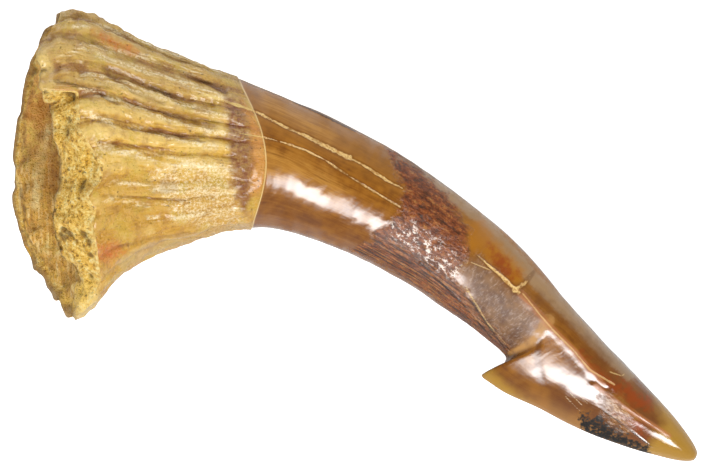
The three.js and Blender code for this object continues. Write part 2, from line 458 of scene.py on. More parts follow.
    def groove(self, place: Array) -> Array:
        """How deep the grooves between the ribs are: 0 on a rib, about 1 in a strong groove.

        Args:
            place: Places round the section, counted in ribs.

        Returns:
            The depths.
        """
        lower = [self.lower_strength] * self.lower_rib_count
        strengths = [*self.upper_strength, *lower, self.upper_strength[0]]
        strength = np.interp(place, np.arange(len(strengths)), strengths)
        return strength * (1 - np.abs(np.cos(np.pi * place)) ** self.groove_power)

    def broken_back(self, station: Array, turn: Array) -> Array:
        """How many stations the upper lip is broken back.

        Args:
            station: Stations from the tip.
            turn: Angles round the section.

        Returns:
            The stations lost.
        """
        bite = np.interp(np.cos(turn), self.break_across, self.break_outer)
        return bite * self.broken_share(turn) / self.station_length * ease(self.rim - 5, self.rim, station)

    def broken_share(self, turn: Array) -> Array:
        """How fully the upper lip is broken: 1 along the break, 0 on the lower lip and the intact end.

        Args:
            turn: Angles round the section.

        Returns:
            Shares from 0 to 1.
        """
        rise = np.maximum(np.sin(turn), 0)
        return np.minimum(1.0, self.bite_sharpness * rise) * ease(*self.lip_start[::-1], np.cos(turn))

    def lip_shift(self, station: Array, across: Array, rise: Array) -> Array:
        """How far the root's end is moved out along X: the lower lip, and the intact end of the upper lip.

        Args:
            station: Stations from the tip.
            across: Position across the section.
            rise: Position up the section, positive on the upper face.

        Returns:
            Shifts in millimetres.
        """
        fullness = 1 - self.lip_lean * across * (1 - across**2) + self.lip_spread * across**2
        lower = -self.lower_lip_reach * fullness * rise**2 * ease(self.margin + 1, self.rim, station)
        knob = self.lip_knob_reach * ease(0.98, 0.8, across) * ease(*self.lip_start, across)
        return np.where(rise < 0, lower, -knob * ease(self.rim - 4, self.rim, station))

    def inner_edge(self, place: Array) -> Array:
        """The inner edge of the base's wall.

        Args:
            place: Places round the section, counted in ribs.

        Returns:
            Points of the edge.
        """
        outer, _, _ = self.outer(np.full_like(place, self.rim), place)
        angle = self.rib_angle(place)
        across = np.cos(angle)
        rise = np.sin(angle)
        row = self.rows(np.array([self.rim]))[0]
        middle_y = (row[1] + row[3]) / 2
        middle_z = (row[4] + row[5]) / 2
        width = (row[1] - row[3]) / 2
        wall = np.where(rise > 0, self.upper_wall, self.lower_wall)
        chord = (row[0] + row[2]) / 2 + (row[0] - row[2]) / 2 * across
        slanted = chord + np.interp(across, self.break_across, self.break_inner)
        edge = outer.copy()
        plain = outer[..., 0] + self.rim_set_back + self.rim_slope * np.maximum(-rise, 0)
        edge[..., 0] = plain + (slanted - plain) * self.broken_share(angle)
        edge[..., 1] += (middle_y - outer[..., 1]) * self.wall_at_corner / width
        edge[..., 2] += (middle_z - outer[..., 2]) * wall
        return edge

    def base(self, inward: Array, place: Array) -> Array:
        """Points of the base: over the rim up to 1, then down into the hollow, which ends at 2.

        Args:
            inward: How far in from the outer edge.
            place: Places round the section, counted in ribs.

        Returns:
            The points.
        """
        outer, _, _ = self.outer(np.full_like(place, self.rim), place)
        edge = self.inner_edge(place)
        row = self.rows(np.array([self.rim]))[0]
        floor = np.array([self.hollow[0], self.hollow[1], (row[4] + row[5]) / 2])
        share = np.clip(inward - 1, 0, 1)[..., None]
        deep = 1 - (1 - share) ** 3
        weight = np.concatenate([deep, share, share], -1)
        over = outer + (edge - outer) * np.minimum(inward, 1)[..., None]
        return np.where(inward[..., None] <= 1, over, edge + (floor - edge) * weight)


@dataclass(frozen=True)
class Marks:
    """Everything drawn on the barb's surface, on the plan grid."""

    cracks: tuple[Stroke, ...] = (
        Stroke(((205, 95), (230, 103), (256, 112), (285, 127), (310, 138), (337, 152), (360, 163), (388, 181),
            (402, 188)), 0.2, 0.15),
        Stroke(((262, 115), (285, 127), (310, 138), (337, 152), (350, 158)), 0.12, 0.3),
        Stroke(((228, 132), (262, 137), (285, 143), (305, 150), (325, 160), (340, 170), (355, 180),
            (375, 192), (400, 207)), 0.1, 0.14),
        Stroke(((478, 256), (500, 275), (518, 292)), 0.14, 0.28),
        Stroke(((514, 291), (524, 284), (534, 272)), 0.34, 0.14),
    )
    hairlines: tuple[Stroke, ...] = (
        Stroke(((522, 293), (540, 315), (553, 330), (575, 352), (590, 370), (615, 385)), 0.1, 0.14),
        Stroke(((452, 276), (468, 293), (484, 318), (506, 344)), 0.05, 0.06),
        Stroke(((466, 287), (480, 310), (492, 330)), 0.12, 0.07),
        Stroke(((448, 272), (470, 262), (490, 270)), 0.08, 0.08),
        Stroke(((565, 396), (582, 413)), 0.08, 0.05),
        Stroke(((570, 393), (586, 409)), 0.08, 0.05),
        Stroke(((576, 392), (588, 404)), 0.06, 0.05),
        Stroke(((610, 372), (622, 376), (628, 372)), 0.1, 0.08),
        Stroke(((200, 84), (230, 97), (250, 110)), 0.07, 0.07),
        Stroke(((280, 210), (330, 232), (380, 255)), 0.05, 0.05, Face.UNDER),
        Stroke(((262, 120), (310, 150), (370, 200), (420, 240)), 0.16, 0.1, Face.UNDER),
        Stroke(((500, 300), (560, 352), (600, 392)), 0.12, 0.08, Face.UNDER),
    )
    grooves: tuple[Stroke, ...] = (
        Stroke(((104, 68), (150, 86), (188, 104), (213, 110)), 0.3, 0.55),
        Stroke(((136, 101), (174, 115), (199, 122), (212, 127)), 0.3, 0.6),
        Stroke(((150, 129), (199, 139)), 0.16, 0.2),
        Stroke(((60, 80), (92, 88), (120, 104)), 0.4, 0.2),
        Stroke(((110, 75), (140, 95), (165, 104)), 0.3, 0.2),
        Stroke(((92, 34), (120, 46), (150, 60), (190, 76), (226, 92)), 0.22, 0.22),
        Stroke(((70, 62), (100, 66), (130, 74)), 0.25, 0.2),
        Stroke(((82, 118), (110, 124), (160, 134), (205, 142)), 0.14, 0.16),
        Stroke(((98, 142), (130, 146), (170, 150)), 0.14, 0.12),
        Stroke(((104, 196), (140, 198), (186, 200)), 0.16, 0.12),
        Stroke(((92, 262), (120, 248), (150, 240), (190, 233)), 0.2, 0.14),
    )
    # Dark clefts in the hollow; the first, by the inner edge of the broken band, is painted shade under its
    # overhang.
    clefts: tuple[Stroke, ...] = (
        Stroke(((50, 112), (53, 140), (56, 170), (58, 192)), 0.5, 0.7, Face.BOTH),
        Stroke(((24, 112), (22, 140), (26, 168)), 0.3, 0.4, Face.BOTH),
        Stroke(((15, 180), (22, 200), (20, 226)), 0.25, 0.3, Face.BOTH),
        Stroke(((30, 240), (38, 262), (50, 286)), 0.25, 0.3, Face.BOTH),
        Stroke(((34, 120), (40, 146), (36, 172)), 0.2, 0.25, Face.BOTH),
    )
    ledges: tuple[Stroke, ...] = (
        Stroke(((49, 126), (43, 142), (39, 158), (37, 182), (34, 206)), 0.4, 0.5, Face.BOTH),
    )
    # Painted highlights: pale glints drawn along the rib crests.
    crests: tuple[Stroke, ...] = (
        Stroke(((100, 56), (113, 62), (150, 72), (185, 83), (217, 97), (232, 104)), 0.5, 0.5),
        Stroke(((86, 74), (97, 76), (139, 90), (171, 100), (199, 110), (227, 119)), 0.5, 0.5),
        Stroke(((84, 90), (111, 99), (153, 114), (192, 126), (220, 133), (248, 136)), 0.5, 0.55),
        Stroke(((86, 112), (118, 126), (157, 133), (195, 144), (232, 150)), 0.45, 0.4),
        Stroke(((104, 148), (133, 154), (167, 161), (199, 166), (234, 172)), 0.6, 0.7),
        Stroke(((107, 180), (153, 189), (188, 190), (236, 194)), 0.4, 0.6),
        Stroke(((106, 200), (125, 201), (150, 206)), 0.4, 0.3),
        Stroke(((150, 219), (175, 218), (200, 214), (240, 208)), 0.4, 0.4),
        Stroke(((60, 60), (84, 48), (110, 50), (150, 58), (200, 74)), 0.4, 0.4),
        Stroke(((76, 26), (100, 26), (130, 36), (170, 52), (220, 72)), 0.4, 0.4),
    )
    creases: tuple[Stroke, ...] = (
        Stroke(((520, 293), (540, 315), (553, 330), (575, 352), (590, 370), (604, 384)), 1.0, 0.8),
        Stroke(((596, 386), (620, 404), (645, 420), (670, 436)), 0.8, 0.6),
    )
    fingers: tuple[Stroke, ...] = (
        Stroke(((540, 340), (537, 358), (541, 380)), 0.35, 0.6),
    )
    veins: tuple[Stroke, ...] = (
        Stroke(((549, 320), (542, 329), (532, 342), (510, 354)), 0.9, 0.4),
    )
    flakes: tuple[Stroke, ...] = (
        Stroke(((292, 102), (320, 114.5), (340, 124), (356, 133)), 0.06, 0.2),
        Stroke(((600, 408), (625, 426), (652, 447)), 0.08, 0.1),
        Stroke(((432, 262), (470, 300), (505, 348)), 0.1, 0.12),
        Stroke(((420, 262), (456, 296), (492, 338)), 0.1, 0.12),
    )
    knobs: tuple[Patch, ...] = (
        Patch(((36, 58), (46, 54), (54, 62), (55, 72), (46, 78), (37, 74))),
        Patch(((56, 294), (64, 318), (86, 318), (100, 298), (96, 278), (70, 284)), Face.BOTH),
    )
    satin: tuple[Patch, ...] = (
        Patch(((460, 268), (480, 258), (500, 277), (518, 295), (538, 316), (532, 338), (512, 352), (494, 334),
            (472, 304))),
    )
    gilt: tuple[Patch, ...] = (
        Patch(((262, 146), (296, 156), (330, 176), (352, 192), (330, 196), (296, 180), (264, 176))),
        Patch(((262, 92), (300, 112), (340, 136), (330, 142), (290, 122), (260, 106))),
        Patch(((606, 394), (620, 396), (636, 420), (626, 432), (612, 420))),
    )
    maroon: tuple[Patch, ...] = (
        Patch(((226, 98), (241, 102), (250, 130), (254, 165), (251, 195), (244, 213), (237, 198), (230, 165),
            (229, 130))),
    )
    tan: tuple[Patch, ...] = (
        Patch(((240, 100), (252, 112), (266, 140), (268, 165), (262, 192), (250, 196), (250, 130))),
    )
    dark: tuple[Patch, ...] = (
        Patch(((386, 146), (404, 188), (398, 214), (376, 236), (352, 250), (398, 272), (440, 304), (480, 340),
            (506, 356), (512, 346), (484, 312), (452, 276), (468, 258), (470, 230), (446, 196), (420, 168)),
            Face.BOTH),
    )
    amber: tuple[Patch, ...] = (
        Patch(((466, 222), (482, 220), (500, 243), (524, 270), (522, 284), (510, 287), (494, 270), (478, 256),
            (467, 244))),
    )
    ember: tuple[Patch, ...] = (
        Patch(((490, 246), (506, 260), (520, 276), (508, 281), (494, 264))),
        Patch(((580, 352), (604, 374), (632, 388), (650, 402), (652, 412), (632, 404), (606, 386),
            (584, 366))),
        Patch(((618, 414), (640, 420), (650, 436), (634, 434))),
    )
    # Painted shade: a darker strip beside the tip's ridge.
    dusk: tuple[Patch, ...] = (
        Patch(((526, 290), (540, 292), (580, 328), (612, 360), (606, 372), (586, 356), (560, 330),
            (536, 306))),
        Patch(((556, 346), (584, 366), (606, 386), (632, 406), (618, 402), (590, 388), (566, 364))),
    )
    olive: tuple[Patch, ...] = (
        Patch(((652, 388), (672, 404), (705, 440), (705, 470), (640, 460), (648, 446), (664, 424)),
            Face.BOTH),
        Patch(((470, 362), (492, 368), (504, 382), (518, 395), (545, 416), (585, 436), (500, 412)),
            Face.BOTH),
    )
    soot: tuple[Patch, ...] = (
        Patch(((583, 414), (596, 418), (610, 424), (622, 432), (640, 444), (652, 454), (620, 454), (600, 444),
            (580, 432))),
    )
    glitter: tuple[Patch, ...] = (
        Patch(((598, 396), (612, 392), (628, 412), (636, 430), (622, 434), (604, 420))),
        Patch(((392, 222), (412, 222), (440, 240), (462, 262), (456, 278), (436, 270), (412, 250),
            (388, 236))),
    )
    # Painted reflection: a pale grey strip along the upper edge, where the enamel mirrors its bright
    # surroundings.
    haze: tuple[Stroke, ...] = (
        Stroke(((400, 158), (440, 184), (480, 218), (510, 252), (535, 280), (560, 304), (590, 335),
            (615, 358), (630, 372)), 0.9, 1.3),
    )
    rust: tuple[Patch, ...] = (
        Patch(((98, 245), (116, 242), (124, 253), (112, 264), (98, 260))),
        Patch(((92, 32), (106, 35), (138, 51), (134, 56), (100, 41))),
        Patch(((58, 92), (74, 90), (78, 98), (62, 100))),
    )
    pockets: tuple[Patch, ...] = (
        Patch(((36, 94), (50, 96), (51, 116), (44, 136), (34, 132)), Face.BOTH),
        Patch(((46, 148), (58, 150), (60, 190), (52, 194), (46, 176)), Face.BOTH),
        Patch(((24, 92), (32, 92), (32, 118), (23, 116)), Face.BOTH),
    )
    ashen: tuple[Patch, ...] = (
        Patch(((162, 182), (176, 182), (179, 190), (168, 195), (160, 192))),
        Patch(((116, 262), (150, 243), (200, 231), (252, 222), (252, 234), (200, 242), (150, 256),
            (122, 270))),
    )
    # Painted highlights: pale granular glints by the cap margin and on the root.
    frost: tuple[Patch, ...] = (
        Patch(((150, 170), (196, 158), (230, 168), (236, 200), (246, 226), (214, 230), (176, 218))),
        Patch(((96, 136), (108, 138), (112, 154), (98, 158), (90, 146))),
    )


@dataclass(frozen=True)
class Relief:
    """Heights and depths of the fine surface, in millimetres."""

    enamel_wave: float = 0.02
    ripple: float = 0.012
    granule: float = 0.02
    crease: float = 0.07
    finger_depth: float = 0.03
    flake: float = 0.06
    crack_depth: float = 0.03
    rib_wave: float = 0.12
    bone_grain: float = 0.07
    groove_depth: float = 0.16
    knob: float = 0.25
    rim: float = 0.1
    far_rim: float = 0.16
    intact_lip: float = 0.22
    crumb: float = 0.26
    pit_depth: float = 0.2
    hollow: float = 0.24
    nick_depth: float = 0.24
    notch_y: float = 3.4
    notch_width: float = 0.35
    full_scale: float = 0.2  # the height that the finishes read as 1


@dataclass
class Barb:
    """The whole fossil: it builds the fine surface over the plain form, and dresses it."""

    loft: Loft = field(default_factory=Loft)
    marks: Marks = field(default_factory=Marks)
    relief: Relief = field(default_factory=Relief)
    around: int = 264
    cap_rings: int = 200
    root_rings: int = 110
    rim_rings: int = 14
    hollow_rings: int = 26
    hollow_end: float = 0.94
    margin_gap: float = 0.04
    girth: float = 4.0
    tip_cap: tuple[float, ...] = (0.05, -0.03, 0.0)
    hollow_cap: tuple[float, ...] = (0.05, 0.0, 0.0)
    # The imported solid's own rings, and its points to each rib.
    solid_rings: int = 103
    solid_steps: int = 4

    def stations(self) -> tuple[Array, Array, Array]:
        """The rings' stations on the cap and root, and how far in they are on the base.

        Returns:
            Three lists of ring positions.
        """
        loft = self.loft
        fine = np.linspace(0, loft.margin, 2001)
        row = loft.rows(fine)
        middle = (row[:, 0:2] + row[:, 2:4]) / 2
        run = np.concatenate([[0], np.cumsum(np.hypot(*np.diff(middle, axis=0).T))])
        cap = np.interp(np.linspace(0, run[-1], self.cap_rings), run, fine)
        root_start = loft.margin + self.margin_gap
        root = root_start + np.linspace(0, 1, self.root_rings) * (loft.rim - root_start)
        over_rim = np.linspace(0, 1, self.rim_rings + 1)[1:]
        down = np.linspace(0, self.hollow_end, self.hollow_rings + 1)[1:]
        inward = np.concatenate([over_rim, 1 + down])
        return cap, root, inward

    def surface(self) -> tuple[Array, dict[str, Array]]:
        """The fine surface and what its finishes read from it.

        Returns:
            Points by ring, place and axis, and a field of values by name.
        """
        loft = self.loft
        cap, root, inward = self.stations()
        place = np.arange(self.around) / self.around * loft.ribs
        outer_station = np.concatenate([cap, root])
        station, spot = np.meshgrid(outer_station, place, indexing="ij")
        points, across, rise = loft.outer(station, spot)
        depth, base_spot = np.meshgrid(inward, place, indexing="ij")
        base = loft.base(depth, base_spot)
        points = np.concatenate([points, base])
        angle = loft.rib_angle(base_spot)
        across = np.concatenate([across, np.cos(angle)])
        rise = np.concatenate([rise, np.sin(angle)])
        station = np.concatenate([station, np.full_like(depth, loft.rim)])
        spot = np.concatenate([spot, base_spot])
        into = np.concatenate([np.zeros((len(outer_station), self.around)), depth])

        normal = self.normals(points)
        right = PLAN_CENTRE[0] + points[..., 0] / PLAN_STEP
        down = PLAN_CENTRE[1] - points[..., 1] / PLAN_STEP
        fields = self.drawn(np.stack([right, down], -1), normal[..., 2])
        step = np.linalg.norm(np.diff(points, axis=0), axis=-1).mean(1, keepdims=True)
        run = np.concatenate([[[0.0]], np.cumsum(step, axis=0)]) * np.ones((1, self.around))
        turn = loft.rib_angle(spot)
        fields["flow"] = np.stack([self.girth * np.cos(turn), self.girth * np.sin(turn), run], -1)
        fields["across"] = across
        fields["rise"] = rise
        fields["into"] = into
        fields["rib"] = 1 - loft.groove(spot)
        fields["from_margin"] = run - run[len(cap) - 1]
        height = self.fine_relief(points, station, into, fields)
        # The finishes darken the low places and lighten the high ones by this height: painted shade and
        # light.
        fields["relief"] = np.clip(height / self.relief.full_scale, -1.0, 1.0)
        nicks = self.nicks(points, station, into, fields)
        points = points + normal * height[..., None]
        points[..., 0] += nicks
        points[..., 2] = np.maximum(points[..., 2], 0.0)
        return points, fields

    @staticmethod
    def normals(points: Array) -> Array:
        """Outward normals of a surface of rings.

        Args:
            points: Points by ring, place and axis.

        Returns:
            Unit normals of the same shape.
        """
        along = np.gradient(points, axis=0)
        round_ring = np.roll(points, -1, axis=1) - np.roll(points, 1, axis=1)
        normal = np.cross(along, round_ring)
        return normal / np.maximum(np.linalg.norm(normal, axis=-1, keepdims=True), 1e-9)

    def drawn(self, plan: Array, facing: Array) -> dict[str, Array]:
        """The drawn marks as fields over the surface.

        Args:
            plan: Plan grid positions.
            facing: The upward part of the normals.

        Returns:
            For each kind of line its distance in half widths, and for each kind of area the depth inside it.
        """
        fields: dict[str, Array] = {}
        for name, marks in vars(self.marks).items():
            if isinstance(marks[0], Stroke):
                values = [m.nearness(plan) + LINE_LIMIT * m.face.bar(facing) for m in marks]
                fields[name] = np.minimum(np.min(values, axis=0), LINE_LIMIT)
            else:
                values = [m.depth(plan) - 2 * AREA_LIMIT * m.face.bar(facing) for m in marks]
                fields[name] = np.clip(np.max(values, axis=0), -AREA_LIMIT, AREA_LIMIT)
        return fields

    def fine_relief(self, points: Array, station: Array, into: Array, fields: dict[str, Array]) -> Array:
        """Heights of the fine surface over the plain form.

        Args:
            points: The plain form's points.
            station: Stations from the tip.
            into: How far in from the base's outer edge.
            fields: The drawn marks and the surface's own coordinates.

        Returns:
            Heights in millimetres along the normals.
        """
        loft, high = self.loft, self.relief
        cap = (station <= loft.margin).astype(float)
        root = ease(loft.margin, loft.margin + 0.6, station) * (into <= 0)
        by_rim = ease(0.7, 0.2, into)
        crumbly = ease(0.0, 0.25, into) * ease(1.6, 0.9, into)
        far = ease(0.2, -0.2, fields["rise"])
        intact = ease(0.42, 0.52, fields["across"]) * (1 - far)
        flow = fields["flow"]
        slant = np.stack([0.25 * flow[..., 0], 0.25 * flow[..., 1], flow[..., 2] + 0.5 * flow[..., 0]], -1)

        height = cap * high.enamel_wave * swell(slant, 1.7, Seed.WAVE, 2)
        phase = 1.5 * (flow[..., 2] + 0.6 * flow[..., 0]) + 3.0 * swell(points, 2.0, Seed.RIPPLE, 2)
        height += cap * ease(14, 18, station) * high.ripple * (np.abs(np.sin(phase)) - 0.6)
        height += cap * high.granule * ease(-0.6, 0.2, fields["dark"]) * swell(points, 0.35, Seed.GRANULE, 2)
        uneven = 1 + 0.7 * swell(points, 0.9, Seed.CREASE, 2)
        height += cap * high.crease * uneven * np.exp(-((fields["creases"] / 0.7) ** 2))
        for name, where, amount in (
            ("fingers", cap, -high.finger_depth),
            ("flakes", cap, high.flake),
            ("cracks", cap, -high.crack_depth),
            ("grooves", root, -high.groove_depth),
        ):
            height += where * amount * np.exp(-(fields[name] ** 2))
        height += root * high.rib_wave * swell(flow * np.array([1.0, 1.0, 0.3]), 1.1, Seed.RIB, 3)
        height += root * high.bone_grain * swell(points, 0.5, Seed.BONE, 3)
        height += high.knob * ease(-0.2, 0.5, fields["knobs"])
        rim = ease(32.6, 33.8, station) * by_rim * (high.rim + high.far_rim * far)
        height += rim * swell(points, 1.0, Seed.RIM, 2)
        lip = ease(30.5, 32.5, station) * by_rim * intact
        height += lip * high.intact_lip * swell(points, 0.9, Seed.LIP, 2)
        height += crumbly * high.crumb * swell(points, 0.9, Seed.CRUMB, 4)
        height -= crumbly * high.pit_depth * np.clip(swell(points, 0.5, Seed.PIT, 1) - 0.25, 0, 1)
        height += ease(0.9, 1.2, into) * high.hollow * swell(points, 1.5, Seed.HOLLOW, 3)
        settled = ease(0.0, 0.6, points[..., 2])
        return height * settled

    def nicks(self, points: Array, station: Array, into: Array, fields: dict[str, Array]) -> Array:
        """How far the edge of the far lip is nicked back.

        Args:
            points: The plain form's points.
            station: Stations from the tip.
            into: How far in from the base's outer edge.
            fields: The surface's own coordinates.

        Returns:
            Shifts in millimetres along X.
        """
        high = self.relief
        edge = ease(31.8, 33.8, station) * ease(0.9, 0.1, into)
        edge *= ease(0.1, -0.3, fields["rise"]) * ease(0.75, 0.35, fields["across"])
        small = np.clip(swell(points, 1.5, Seed.NICK, 3) + 0.1, 0, 1)
        notch = np.exp(-(((points[..., 1] - high.notch_y) / high.notch_width) ** 2))
        return high.nick_depth * edge * (small + notch)

    def build(self) -> bpy.types.Object:
        """Makes the barb's mesh, with its fields as attributes.

        Returns:
            The barb.
        """
        points, fields = self.surface()
        points = points - self.shift()
        rings, places = points.shape[:2]
        tip = points[0].mean(0) + self.tip_cap
        bottom = points[-1].mean(0) + self.hollow_cap
        vertices = np.vstack([points.reshape(-1, 3), tip, bottom]) * MM
        index = np.arange(rings * places).reshape(rings, places)
        ahead = np.roll(index, -1, axis=1)
        quads = np.stack([index[:-1], index[1:], ahead[1:], ahead[:-1]], -1).reshape(-1, 4)
        last = rings * places
        start = [(last, a, b) for a, b in zip(index[0], ahead[0])]
        end = [(last + 1, b, a) for a, b in zip(index[-1], ahead[-1])]
        mesh = bpy.data.meshes.new("rostral_barb_surface")
        mesh.from_pydata(vertices.tolist(), [], [*quads.tolist(), *start, *end])
        mesh.update()
        for name, values in fields.items():
            self.store(mesh, name, values, places)
        cap_faces = (self.cap_rings - 1) * places
        root_faces = self.root_rings * places
        slots = np.full(len(mesh.polygons), 2, np.int32)
        slots[:cap_faces] = 0
        slots[cap_faces : cap_faces + root_faces] = 1
        slots[len(quads) : len(quads) + places] = 0
        mesh.polygons.foreach_set("material_index", slots)
        mesh.polygons.foreach_set("use_smooth", np.ones(len(mesh.polygons), bool))
        barb = bpy.data.objects.new("rostral_barb_fossil", mesh)
        bpy.context.scene.collection.objects.link(barb)
        LOG.info("barb surface: %d vertices, %d faces", len(mesh.vertices), len(mesh.polygons))
        return barb

    def shift(self) -> Array:
        """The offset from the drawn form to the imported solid's frame.

        Returns:
            Millimetres to take off each axis.
        """
        stations = np.linspace(0, self.loft.rim, self.solid_rings)
        places = np.arange(self.loft.ribs * self.solid_steps) / self.solid_steps
        points, _, _ = self.loft.outer(*np.meshgrid(stations, places, indexing="ij"))
        points = points.reshape(-1, 3)
        low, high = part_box(NODE)
        offset = (points.min(0) + points.max(0)) / 2 - np.array((low + high) / 2) / MM
        return offset * (1, 1, 0)

    @staticmethod
    def store(mesh: bpy.types.Mesh, name: str, values: Array, places: int) -> None:
        """Keeps a field on the mesh.

        Args:
            mesh: The mesh.
            name: The attribute's name.
            values: Values by ring and place, and by axis for a vector.
            places: Points in a ring.
        """
        flat = values.reshape(-1, values.shape[-1]) if values.ndim == 3 else values.reshape(-1, 1)
        flat = np.vstack([flat, flat[:places].mean(0), flat[-places:].mean(0)]).astype(np.float32)
        kind, key = ("FLOAT_VECTOR", "vector") if values.ndim == 3 else ("FLOAT", "value")
        attribute = mesh.attributes.new(name, kind, "POINT")
        attribute.data.foreach_set(key, flat.ravel())

    def dress(self, barb: bpy.types.Object) -> None:
        """Gives the barb its three finishes and its place in the frame.

        Args:
            barb: The barb.
        """
        for finish in (Enamel(), RootBone(), BrokenBase()):
            barb.data.materials.append(finish.material())
        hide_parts(NODE)
        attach(barb, BODY)
        LOG.info("barb dressed: %s", ", ".join(m.name for m in barb.data.materials))


Socket = bpy.types.NodeSocket
Value = Socket | float | tuple[float, ...]


class Sketch:
    """Places and links shader nodes in one tree."""

    def __init__(self, tree: bpy.types.NodeTree) -> None:
        """Keeps the tree that it works in."""
        self.tree = tree

    def node(self, kind: str, **settings: object) -> bpy.types.Node:
        """Adds a node.

        Args:
            kind: The node's type.
            **settings: Properties to set on it.

        Returns:
            The node.
        """
        made = self.tree.nodes.new(kind)
        for name, value in settings.items():
            setattr(made, name, value)
        return made

    def put(self, socket: Socket, value: Value) -> None:
        """Links a socket's source, or sets its value.

        Args:
            socket: The socket.
            value: A socket to link from, or a plain value.
        """
        if isinstance(value, bpy.types.NodeSocket):
            self.tree.links.new(value, socket)
        else:
            socket.default_value = value

    def field(self, name: str, output: str = "Fac") -> Socket:
        """A field of the mesh, as a value or as a vector."""
        return self.node("ShaderNodeAttribute", attribute_name=name).outputs[output]

    def place(self) -> Socket:
        """The position on the barb, in millimetres."""
        where = self.node("ShaderNodeTexCoord").outputs["Object"]
        return self.scaled(where, (1 / MM, 1 / MM, 1 / MM))

    def scaled(self, vector: Socket, by: tuple[float, float, float]) -> Socket:
        """A vector with each part multiplied.

        Args:
            vector: The vector.
            by: What each part is multiplied by.

        Returns:
            The new vector.
        """
        node = self.node("ShaderNodeVectorMath", operation="MULTIPLY")
        self.put(node.inputs[0], vector)
        self.put(node.inputs[1], by)
        return node.outputs["Vector"]

    def math(self, operation: str, a: Value, b: Value = 0.0, clamp: bool = False) -> Socket:
        """Two values put together.

        Args:
            operation: How.
            a: First value.
            b: Second value.
            clamp: Whether the result is kept from 0 to 1.

        Returns:
            The result.
        """
        node = self.node("ShaderNodeMath", operation=operation, use_clamp=clamp)
        self.put(node.inputs[0], a)
        self.put(node.inputs[1], b)
        return node.outputs["Value"]

    def times(self, a: Value, b: Value) -> Socket:
        """The product of two values."""
        return self.math("MULTIPLY", a, b)

    def plus(self, a: Value, b: Value) -> Socket:
        """The sum of two values."""
        return self.math("ADD", a, b)

    def minus(self, a: Value, b: Value) -> Socket:
        """The first value less the second."""
        return self.math("SUBTRACT", a, b)

    def most(self, *values: Value) -> Socket:
        """The largest of some values."""
        return reduce(lambda a, b: self.math("MAXIMUM", a, b), values)

    def total(self, *parts: tuple[Value, Value]) -> Socket:
        """The sum of values, each given with its weight."""
        return reduce(self.plus, [self.times(value, weight) for value, weight in parts])

    def remap(
        self, value: Value, low: Value, high: Value, to_low: float = 0.0, to_high: float = 1.0
    ) -> Socket:
        """A value eased from one range to another.

        Args:
            value: The value.
            low: Start of its range.
            high: End of its range.
            to_low: Result at the start.
            to_high: Result at the end.

        Returns:
            The eased value.
        """
        node = self.node("ShaderNodeMapRange", interpolation_type="SMOOTHSTEP")
        names = ("Value", "From Min", "From Max", "To Min", "To Max")
        for name, given in zip(names, (value, low, high, to_low, to_high)):
            self.put(node.inputs[name], given)
        return node.outputs["Result"]

    def blend(self, share: Value, a: Value, b: Value) -> Socket:
        """Two colours mixed.

        Args:
            share: How much of the second.
            a: First colour.
            b: Second colour.

        Returns:
            The mixed colour.
        """
        node = self.node("ShaderNodeMix", data_type="RGBA", clamp_factor=True)
        self.put(node.inputs["Factor"], share)
        self.put(node.inputs["A"], a)
        self.put(node.inputs["B"], b)
        return next(o for o in node.outputs if o.type == "RGBA")

    def tint(self, colour: Socket, mask: Value, strength: float, over: Value) -> Socket:
        """A colour with another laid over it.

        Args:
            colour: What is there.
            mask: Where the other one lies.
            strength: How much of it shows where the mask is 1.
            over: The other colour.

        Returns:
            The colour.
        """
        return self.blend(self.times(mask, strength), colour, over)

    def ramp(self, value: Socket, *stops: tuple[float, Colour]) -> Socket:
        """A colour picked along a ramp.

        Args:
            value: Where on the ramp.
            stops: Positions and colours.

        Returns:
            The colour.
        """
        node = self.node("ShaderNodeValToRGB")
        elements = node.color_ramp.elements
        while len(elements) < len(stops):
            elements.new(0.5)
        for element, (position, colour) in zip(elements, stops):
            element.position = position
            element.color = colour
        self.put(node.inputs["Fac"], value)
        return node.outputs["Color"]

    def noise(self, vector: Socket, scale: Value, detail: float = 3.0, rough: float = 0.55) -> Socket:
        """Layered noise from 0 to 1.

        Args:
            vector: Coordinates.
            scale: Swellings in a unit of length.
            detail: How many layers.
            rough: Strength of the finer layers.

        Returns:
            The noise.
        """
        node = self.node("ShaderNodeTexNoise", noise_dimensions="3D")
        self.put(node.inputs["Vector"], vector)
        self.put(node.inputs["Scale"], scale)
        node.inputs["Detail"].default_value = detail
        node.inputs["Roughness"].default_value = rough
        return node.outputs["Fac"]

    def effect(self, group: bpy.types.NodeTree, **inputs: Value) -> bpy.types.NodeOutputs:
        """Places a shared effect.

        Args:
            group: The effect's node group.
            **inputs: Its inputs by name, with _ for a space.

        Returns:
            The effect's outputs.
        """
        node = self.node("ShaderNodeGroup", node_tree=group)
        for name, value in inputs.items():
            self.put(node.inputs[name.replace("_", " ")], value)
        return node.outputs


FLOAT = "NodeSocketFloat"
VECTOR = "NodeSocketVector"


